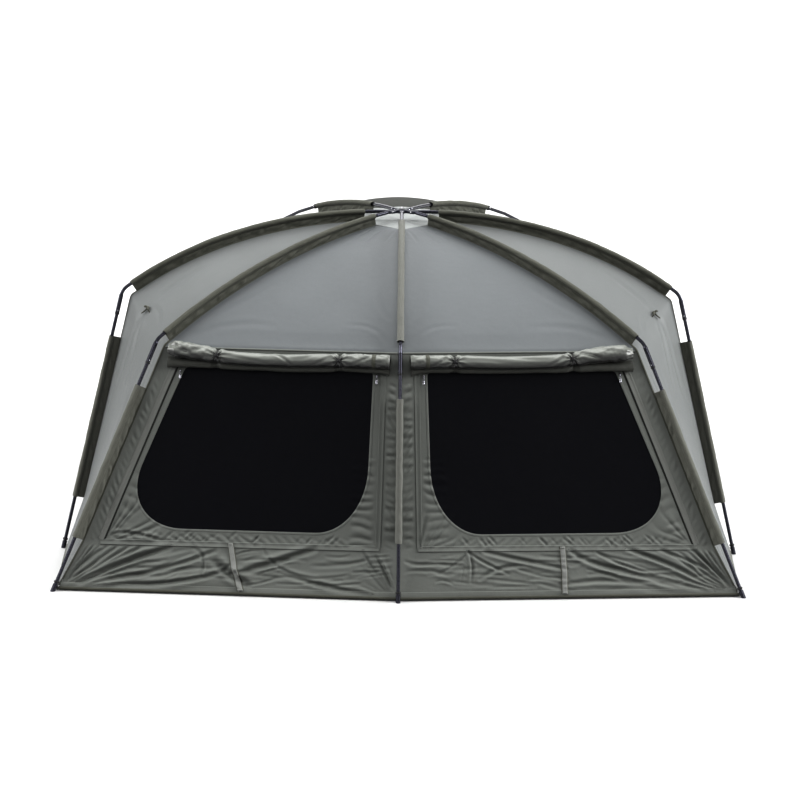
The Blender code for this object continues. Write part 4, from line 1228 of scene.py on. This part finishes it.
def add_cover_edge(side, cloth, seed):
    """The cover's lower edge, which hangs in a slack fold under the roll; returns its girth."""
    shares = even(0.006, 0.994, 0.0045)
    s = cloth.width_at(0.1) * (COVER_ENDS[0] + (COVER_ENDS[1] - COVER_ENDS[0]) * shares)[:, None]
    length = s[-1, 0] - s[0, 0]
    x = (shares * length)[:, None]
    ties = [tie * length for tie in ROLL_TIES[side]]
    held = sum(np.exp(-(((x - tie) / 0.022) ** 2)) for tie in ties)
    drop = 0.008 * np.sin(np.pi * np.clip((x - ties[0]) / (ties[1] - ties[0]), 0, 1)) - 0.008 * held
    drop = drop + 0.003 * noise(x / 0.12, 0 * x, seed)
    drop = drop + 0.020 * np.exp(-x / 0.030) + 0.006 * np.exp(-(length - x) / 0.04)
    fine, coarse = np.linspace(0, 1, 31), np.linspace(0, 1, len(SLACK_EDGE))
    down, lift = (np.interp(fine, coarse, column)[None] for column in np.array(SLACK_EDGE).T)
    lift = lift * (1 - 0.30 * held)
    share = smooth_step((down - 0.070) / 0.05)
    rough = creased(x / 0.055 + down / 0.08, down / 0.05, seed + 1) * (0.5 + np.exp(-x / 0.10))
    lift = lift + share * 0.0038 * rough + share * 0.0030 * held * np.sin(x / 0.0045)
    grid = cloth.point(s + 0 * down, down + share * drop, np.maximum(lift, 0.003))
    piece = add_grid("cover_edge_front_" + side, grid, "slack", slot="wall_fabric")
    girth = line_length(np.array(SLACK_EDGE))
    return girth


def add_zips(panel, wall):
    """The three zips of a front wall, the flaps beside them and their two pulls."""
    paths = {name: path_on(wall, spots, 0.05, 0.010) for name, (spots, _, _) in ZIPS.items()}
    for name, path in paths.items():
        zip_line(f"{name}_{panel}", wall, path)
    for name, (_, aside, finish) in ZIPS.items():
        turn = -1 if aside[0] < 0 else 1
        sewn_strip(f"zip_flap_{name}_{panel}", wall, paths[name] + np.array(aside),
                   [(turn * offset, lift) for offset, lift in FLAP], finish)
    for name, share in ZIP_PULLS.items():
        zip_pull(f"{name}_{panel}", wall, *wall.flat(share, ZIP_PULL_DOWN))


def add_front(side):
    """A front wall with its window, binding, zips, flaps, cover and strap, and the roof panel above it."""
    panel = "front_" + side
    seed = FRONT_SEEDS[side]
    roof = Cloth(panel, 0.0, 1.0, seed)
    roof.wave, roof.pucker = 0.0022, 0.0011
    roof.add_folds(ROOF_FOLDS)
    wall = Cloth(panel, 1.0, 2.0, seed + 5)
    wall.bulge, wall.wave, wall.pucker = -0.006, 0.0034, 0.0026
    wall.add_folds(WALL_FOLDS[panel], 2.1, 0.82)
    wall.add_folds(small_folds(side), 2.4, 0.85)
    low = wall.length
    wall.ripples = [(s0, s1, t0 * low, t1 * low, *rest) for s0, s1, t0, t1, *rest in WALL_RIPPLES]
    wall.fans = [(wall.flat(*place), way, first * low, last * low, *rest)
                 for place, way, first, last, *rest in WALL_FANS[panel]]
    piece = spread_cloth("cloth_roof_" + panel, roof, "roof", ROOF_STEP, ["roof_" + panel])
    roof.cut()
    outline = window_outline(wall)
    size, area = wall.cut()
    piece = cut_wall("cloth_wall_" + panel, wall, outline, False, "wall", WALL_STEP, ["wall_" + panel])
    piece = cut_wall("mesh_window_" + panel, wall, outline, True, "mesh", MESH_STEP, ["window_mesh_" + panel],
                     MESH_LIFT)
    if sideways_of(outline, True)[0] @ (outline[0] - outline.mean(0)) < 0:
        outline = outline[::-1]
    sewn_strip("window_binding_" + panel, wall, outline, BINDING, "wall", closed=True)
    add_zips(panel, wall)
    add_hem(panel, wall, "wall")
    seam = smooth_path([(0.010, 0.006), (wall.widths[0] - 0.010, 0.006)], 0.01, 0.02)
    sewn_strip("roof_seam_" + panel, wall, seam, ROOF_SEAM, "wall")
    add_strap(panel, wall)
    girth = add_cover_edge(side, wall, seed + 14)
    add_rolled_cover(side, wall, seed + 11)


def small_folds(side):
    """Fine creases from a seeded draw: fanned out over the skirt beside the big ones, and under the sill."""
    draw = np.random.default_rng(CREASE_SEEDS[side])
    folds = []
    for _ in range(SKIRT_CREASES):
        across, down = draw.uniform(0.04, 0.95), draw.uniform(0.830, 0.955)
        if side == "left":
            way = np.array(((across - 1.02) * 0.9, -0.08 + 0.07 * draw.normal()))
        else:
            way = np.array(((1.0 - across) * 0.7, 0.05 + 0.04 * draw.normal()))
        way = way / np.linalg.norm(way) * draw.uniform(0.025, 0.085)
        middle = np.array((across, down))
        bend = draw.normal(size=2) * (0.004, 0.006)
        line = np.clip((middle - way, middle + bend, middle + way), (0.02, 0.822), (0.98, 0.975))
        folds.append((line, draw.uniform(0.006, 0.012), draw.uniform(0.0012, 0.0032)))
    for _ in range(SILL_CREASES):
        across, down = draw.uniform(0.16, 0.86), draw.uniform(0.752, 0.775)
        line = ((across, down), (across + 0.012, down + 0.018), (across + 0.018, down + 0.030))
        folds.append((line, draw.uniform(0.006, 0.010), draw.uniform(0.001, 0.0025)))
    return folds


def add_strap(panel, wall):
    """The webbing strap that holds the skirt down, its backing, and the stitched folds at its ends."""
    top, foot = STRAP_ACROSS[panel]
    path = path_on(wall, [(top, 0.797), ((top + foot) / 2, 0.900), (foot, 0.984)], 0.02, 0.008)
    sewn_strip("strap_" + panel, wall, path, STRAP, "webbing", standing_for=["peg_strap_" + panel])
    sewn_strip("strap_backing_" + panel, wall, path, STRAP_BACKING, "sleeve")
    parts = []
    for spot, thick in ((path[1], 0.0048), (path[-2], 0.0056)):
        middle, over, _, out = frame_at(wall, *spot, 0.0110)
        bar = middle + over * np.linspace(-0.0150, 0.0150, 9)[:, None]
        parts.append(tube(bar, thick * np.array((0.3, 0.8, 1.0, 1.0, 1.0, 1.0, 1.0, 0.8, 0.3)), 12, up=out))
    add_parts("strap_folds_" + panel, parts, "webbing")


def add_gore(number, panel):
    """One cloth from the crown over the shoulder and down to the ground."""
    cloth = Cloth(panel, 0.0, 2.0, 300 + 20 * number)
    narrow = panel.startswith("side")
    if narrow:
        cloth.bulge, cloth.wave, cloth.pucker = -0.004, 0.0024, 0.0014
        cloth.add_folds(SIDE_FOLDS)
    else:
        cloth.wave, cloth.pucker = 0.0042, 0.0016
        cloth.add_folds(REAR_FOLDS, 0.5, 1.5)
    low = cloth.length
    cloth.fans = [(cloth.flat(place, 1.003), way, low - GROUND_FAN_HEIGHT, low, *fan)
                  for place, way, fan in GROUND_FANS]
    piece = spread_cloth("cloth_gore_" + panel, cloth, "rear" if panel == "rear" else "gore",
                         SIDE_STEP if narrow else REAR_STEP, ["gore_" + panel])
    if panel == "rear":
        add_crown_facing(cloth)
    if narrow:
        add_tie(panel, cloth)
    add_hem(panel, cloth, "edging")
    cloth.cut()


def add_crown_facing(cloth):
    """The pale facing that carries the crown patch on over the head of the rear cloth."""
    share = even(0.02, 0.98, 0.012)[None, :]
    depth = 0.13 + 0.05 * np.abs(np.cos(2 * np.pi * share)) + 0.02 * noise(share * 9, 0 * share, 5)
    part = np.concatenate(([0.0, 0.004], np.linspace(0.03, 0.985, 22), [1.0, 1.0]))[:, None]
    t = 0.002 + part * depth
    lift = np.full(part.shape, 0.0028)
    lift[0], lift[-1] = 0.0004, 0.0004
    points = cloth.point(share * cloth.width_at(t), t, lift)
    add_grid("crown_facing", points, "crown")


def add_hem(panel, cloth, finish):
    """The turned-up hem, and a dark strip along its lower edge that paints the shadow under the hem."""
    strips = (("hem_", HEM_UP, HEM, finish), ("painted_hem_shadow_", PAINTED_HEM_SHADOW_UP, PAINTED_HEM_SHADOW, "sleeve"))
    for name, up, profile, look in strips:
        t = cloth.length - up
        path = smooth_path([(0.012, t), (cloth.width_at(t) - 0.012, t)], 0.01, 0.02)
        sewn_strip(name + panel, cloth, path, profile, look)


def add_tie(panel, cloth):
    """The knotted tie on the shoulder of a side wall, with two short ends and a tail."""
    middle, over, down, out = frame_at(cloth, *cloth.flat(*SHOULDER_TIE), 0.004)
    parts = []
    share = np.linspace(0, 1, 12)[:, None]
    for side, drop, size in ((-1, 0.008, 0.034), (1, 0.012, 0.030)):
        path = (middle + over * side * size * share + down * drop * share**2
                + out * (0.010 * np.sin(np.pi * share) + 0.004))
        parts.append(tube(path, np.interp(share[:, 0], (0, 0.5, 1), (0.0055, 0.0070, 0.0022)), 8, up=out))
    share = np.linspace(0, 1, 10)[:, None]
    tail = middle + down * 0.050 * share + over * 0.012 * share**2 + out * 0.007
    parts.append(tube(tail, 0.0050 - 0.0020 * share[:, 0], 8, up=out))
    knot = middle + out * np.linspace(-0.001, 0.014, 7)[:, None]
    parts.append(tube(knot, [0.006, 0.0095, 0.0110, 0.0112, 0.0105, 0.0080, 0.0030], 12, up=down))
    add_parts("shoulder_tie_" + panel, parts, "sleeve")


def pole_rings(line, below, width, swell):
    """A turned collar round a leg, as (points, faces), at a distance below the corner."""
    share = np.array((0.0, 0.12, 0.3, 0.7, 0.88, 1.0))
    spots, ways = line.leg(below + width * share)
    radius = POLE_RADIUS + swell * np.array((0.1, 0.8, 1.0, 1.0, 0.8, 0.1)) + 0.0002
    return tube(in_space(line.azimuth, spots), radius, 20, up=in_space(line.azimuth, outer_side(ways[:1]))[0])


def add_pole_fittings():
    """Collars at sockets and feet, rivets, rings above the feet, and the tabs that tie the hem to them."""
    collars, silver, tabs = [], [], []
    for line in LINES.values():
        collars.append(pole_rings(line, SOCKET_LENGTH + 0.001, 0.010, 0.0040))
        collars.append(pole_rings(line, line.leg_length - 0.062, 0.012, 0.0050))
        flat, way = line.leg(SOCKET_LENGTH - 0.012)
        silver += rivet_pair(in_space(line.azimuth, flat), line.side, 0.0116, SOCKET_RIVET, 12,
                             in_space(line.azimuth, outer_side(way)))
        flat, way = line.leg(line.leg_length - 0.040)
        inward = -outer_side(way)
        along, away = in_space(line.azimuth, way), in_space(line.azimuth, inward)
        centre = in_space(line.azimuth, flat + inward * 0.019)
        silver.append(tube(loop(centre, away, line.side, (0.0105, 0.0085)), 0.0018, 10, True, up=along))
        hem, start = in_space(line.azimuth, line.cloth_at(1.955)), centre + away * 0.008
        share = np.linspace(0, 1, 8)[:, None]
        path = start + (hem - start) * share + along * 0.002 * np.sin(np.pi * share)
        tabs.append(flat_bar(path, line.side * 0.010, unit(np.cross(line.side, hem - start)) * 0.0011))
    add_parts("pole_collars", collars, "black")
    add_parts("pole_rivets_and_rings", silver, "silver")
    add_parts("hem_tabs", tabs, "webbing")


def add_rear_arm_joints():
    """The telescopic joint where each rear roof pole leaves its sleeve: a collar and a pair of rivets."""
    collars, rivets = [], []
    for line in (LINES["rear_left"], LINES["rear_right"]):
        t = line.roof_at_radius(line.sleeve_end + 0.012)
        points = in_space(line.azimuth, line.roof(t + np.linspace(0, 0.024, 7))[0])
        radius = POLE_RADIUS + np.array((0.0006, 0.0042, 0.0056, 0.0058, 0.0056, 0.0042, 0.0006))
        collars.append(tube(points, radius, 20))
        rivets += rivet_pair(points[3], line.side, 0.0150, REAR_RIVET, 14, UP)
    add_parts("rear_pole_collars", collars, "black")
    add_parts("rear_pole_rivets", rivets, "silver")


def add_hub_fittings():
    """A pivot bolt through each fork arm, its cheek plates, and the clamping ring round the pin."""
    bolts, cheeks = [], []
    radius, high = np.array(HUB_CHEEK).T[..., None]
    for line in LINES.values():
        out = in_space(line.azimuth, (1.0, 0.0))
        bolts += rivet_pair(out * 0.074 + UP * HUB_HEIGHT, line.side, 0.0086, HUB_BOLT, 12, out)
        for sign in (-1, 1):
            plate = out * radius + line.side * sign * 0.0104 + UP * HUB_HEIGHT
            cheeks.append(flat_bar(plate, line.side * 0.0011, UP * high))
    add_parts("hub_bolts", bolts, "silver")
    add_parts("hub_cheeks", cheeks, "hub")
    ring = loop(UP * (HUB_HEIGHT + 0.0135), (1, 0, 0), (0, 1, 0), (0.0175, 0.0175))
    add_parts("hub_ring", [tube(ring, 0.0026, 12, True)], "black")


def add_arm_ferrules():
    """Ferrules over the poles between the hub and their sleeves, bright as a painted highlight or as dark as
    the poles.
    """
    bright, dark = [], []
    radius = np.full(24, POLE_RADIUS + 0.0009)
    radius[[0, -1]] = POLE_RADIUS + 0.0003
    radius[[3, 20]] -= 0.0004
    for name, line in LINES.items():
        first, last = (line.roof_at_radius(r) for r in (HUB_ARM_START + 0.004, line.sleeve_start - 0.012))
        points = in_space(line.azimuth, line.roof(np.linspace(first, last, len(radius)))[0])
        (bright if name in HIGHLIGHT_PAINTED_ARMS else dark).append(tube(points, radius, 24))
    add_parts("arm_ferrules", bright, "arm")
    add_parts("arm_ferrules_dark", dark, "pole")


def add_floor():
    """A pale floor, and far round it a bowl in its tone that only the camera sees, for low views."""
    made, tree, shader = shaded("pale_floor", 0.9, Specular_IOR_Level=0.1)
    whole = node(tree, "ShaderNodeTexCoord").outputs["Object"]
    tree.links.new(toned(tree, FLOOR_TONE, 0.005, whole, 0.4), shader.inputs["Base Color"])
    x = np.linspace(-FLOOR_REACH, FLOOR_REACH, 44)
    flat = np.stack(np.broadcast_arrays(x[None, :], x[:, None], np.full((1, 1), -FLOOR_DROP)), -1)
    run, angle = np.linspace(0.0, BOWL_WIDTH, 25)[:, None], np.linspace(0, 2 * np.pi, 97)[None, :]
    radius, rise = BOWL_RADIUS + run, BOWL_SLOPE * run**2 / (run + BOWL_EASE)
    bowl = np.stack(np.broadcast_arrays(radius * np.cos(angle), radius * np.sin(angle), rise), -1)
    for name, points in (("floor", flat), ("backdrop", bowl)):
        thing = placed(name, smooth_mesh(name, points.reshape(-1, 3), grid_quads(*points.shape[:2]), made))
        thing.visible_diffuse = False
        thing.visible_glossy = thing.visible_transmission = thing.visible_shadow = name == "floor"


def add_sun(name, elevation, azimuth, strength, angle):
    """Soft light from one side; above 90 degrees the elevation passes over to the far side."""
    lamp = bpy.data.lights.new(name, "SUN")
    lamp.energy, lamp.angle = strength, math.radians(angle)
    thing = placed(name, lamp)
    up, turn = math.radians(elevation), math.radians(azimuth)
    way = Vector((-math.sin(turn) * math.cos(up), -math.cos(turn) * math.cos(up), math.sin(up)))
    thing.rotation_euler = way.to_track_quat("Z", "Y").to_euler()


def add_camera():
    camera = bpy.data.cameras.new("camera")
    camera.sensor_width, camera.lens = CAMERA_SENSOR, CAMERA_LENS
    camera.clip_end = 1000.0
    thing = placed("camera", camera)
    thing.matrix_world = (Matrix.Translation((0.0, float(HUB[1]) - CAMERA_BACK, CAMERA_HEIGHT))
                          @ Matrix.Rotation(math.radians(90 - CAMERA_PITCH), 4, "X")
                          @ Matrix.Rotation(math.radians(CAMERA_ROLL), 4, "Z"))
    bpy.context.scene.camera = thing


def add_sky():
    """Pale light from all round, stronger the higher it comes from."""
    world = bpy.data.worlds.new("studio")
    bpy.context.scene.world = world
    world.use_nodes = True
    tree = world.node_tree
    background = tree.nodes["Background"]
    background.inputs["Color"].default_value = (1.0, 1.0, 1.0, 1.0)
    way = node(tree, "ShaderNodeTexCoord").outputs["Generated"]
    height = node(tree, "ShaderNodeSeparateXYZ", [("Vector", way)]).outputs["Z"]
    sky = node(tree, "ShaderNodeFloatCurve", [("Value", height)])
    curve = sky.mapping.curves[0]
    sky.mapping.clip_min_x = -1.0
    for point, spot in zip(curve.points, SKY):
        point.location = spot
    for spot in SKY[len(curve.points):]:
        curve.points.new(*spot)
    for point in curve.points:
        point.handle_type = "VECTOR"
    sky.mapping.update()
    tree.links.new(sky.outputs["Value"], background.inputs["Strength"])


def add_studio():
    add_sky()
    for name, (elevation, azimuth, strength, angle) in SUNS.items():
        add_sun(name, elevation, azimuth, strength, angle)
    view = bpy.context.scene.view_settings
    view.view_transform, view.gamma = "Standard", VIEW_GAMMA
    add_floor()
    add_camera()


def paint_frame():
    """Better materials for the poles and hub that are carried over as they are."""
    for name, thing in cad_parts.items():
        for start, finish in FRAME_FINISHES.items():
            if name.startswith(start):
                thing.data.materials.clear()
                thing.data.materials.append(MATERIALS[finish])


paint_frame()
add_crown()
add_sleeves()
add_edge_bindings()
for side in ("left", "right"):
    add_front(side)
for number, panel in enumerate(GORES):
    add_gore(number, panel)
add_pole_fittings()
add_rear_arm_joints()
add_hub_fittings()
add_arm_ferrules()
add_studio()
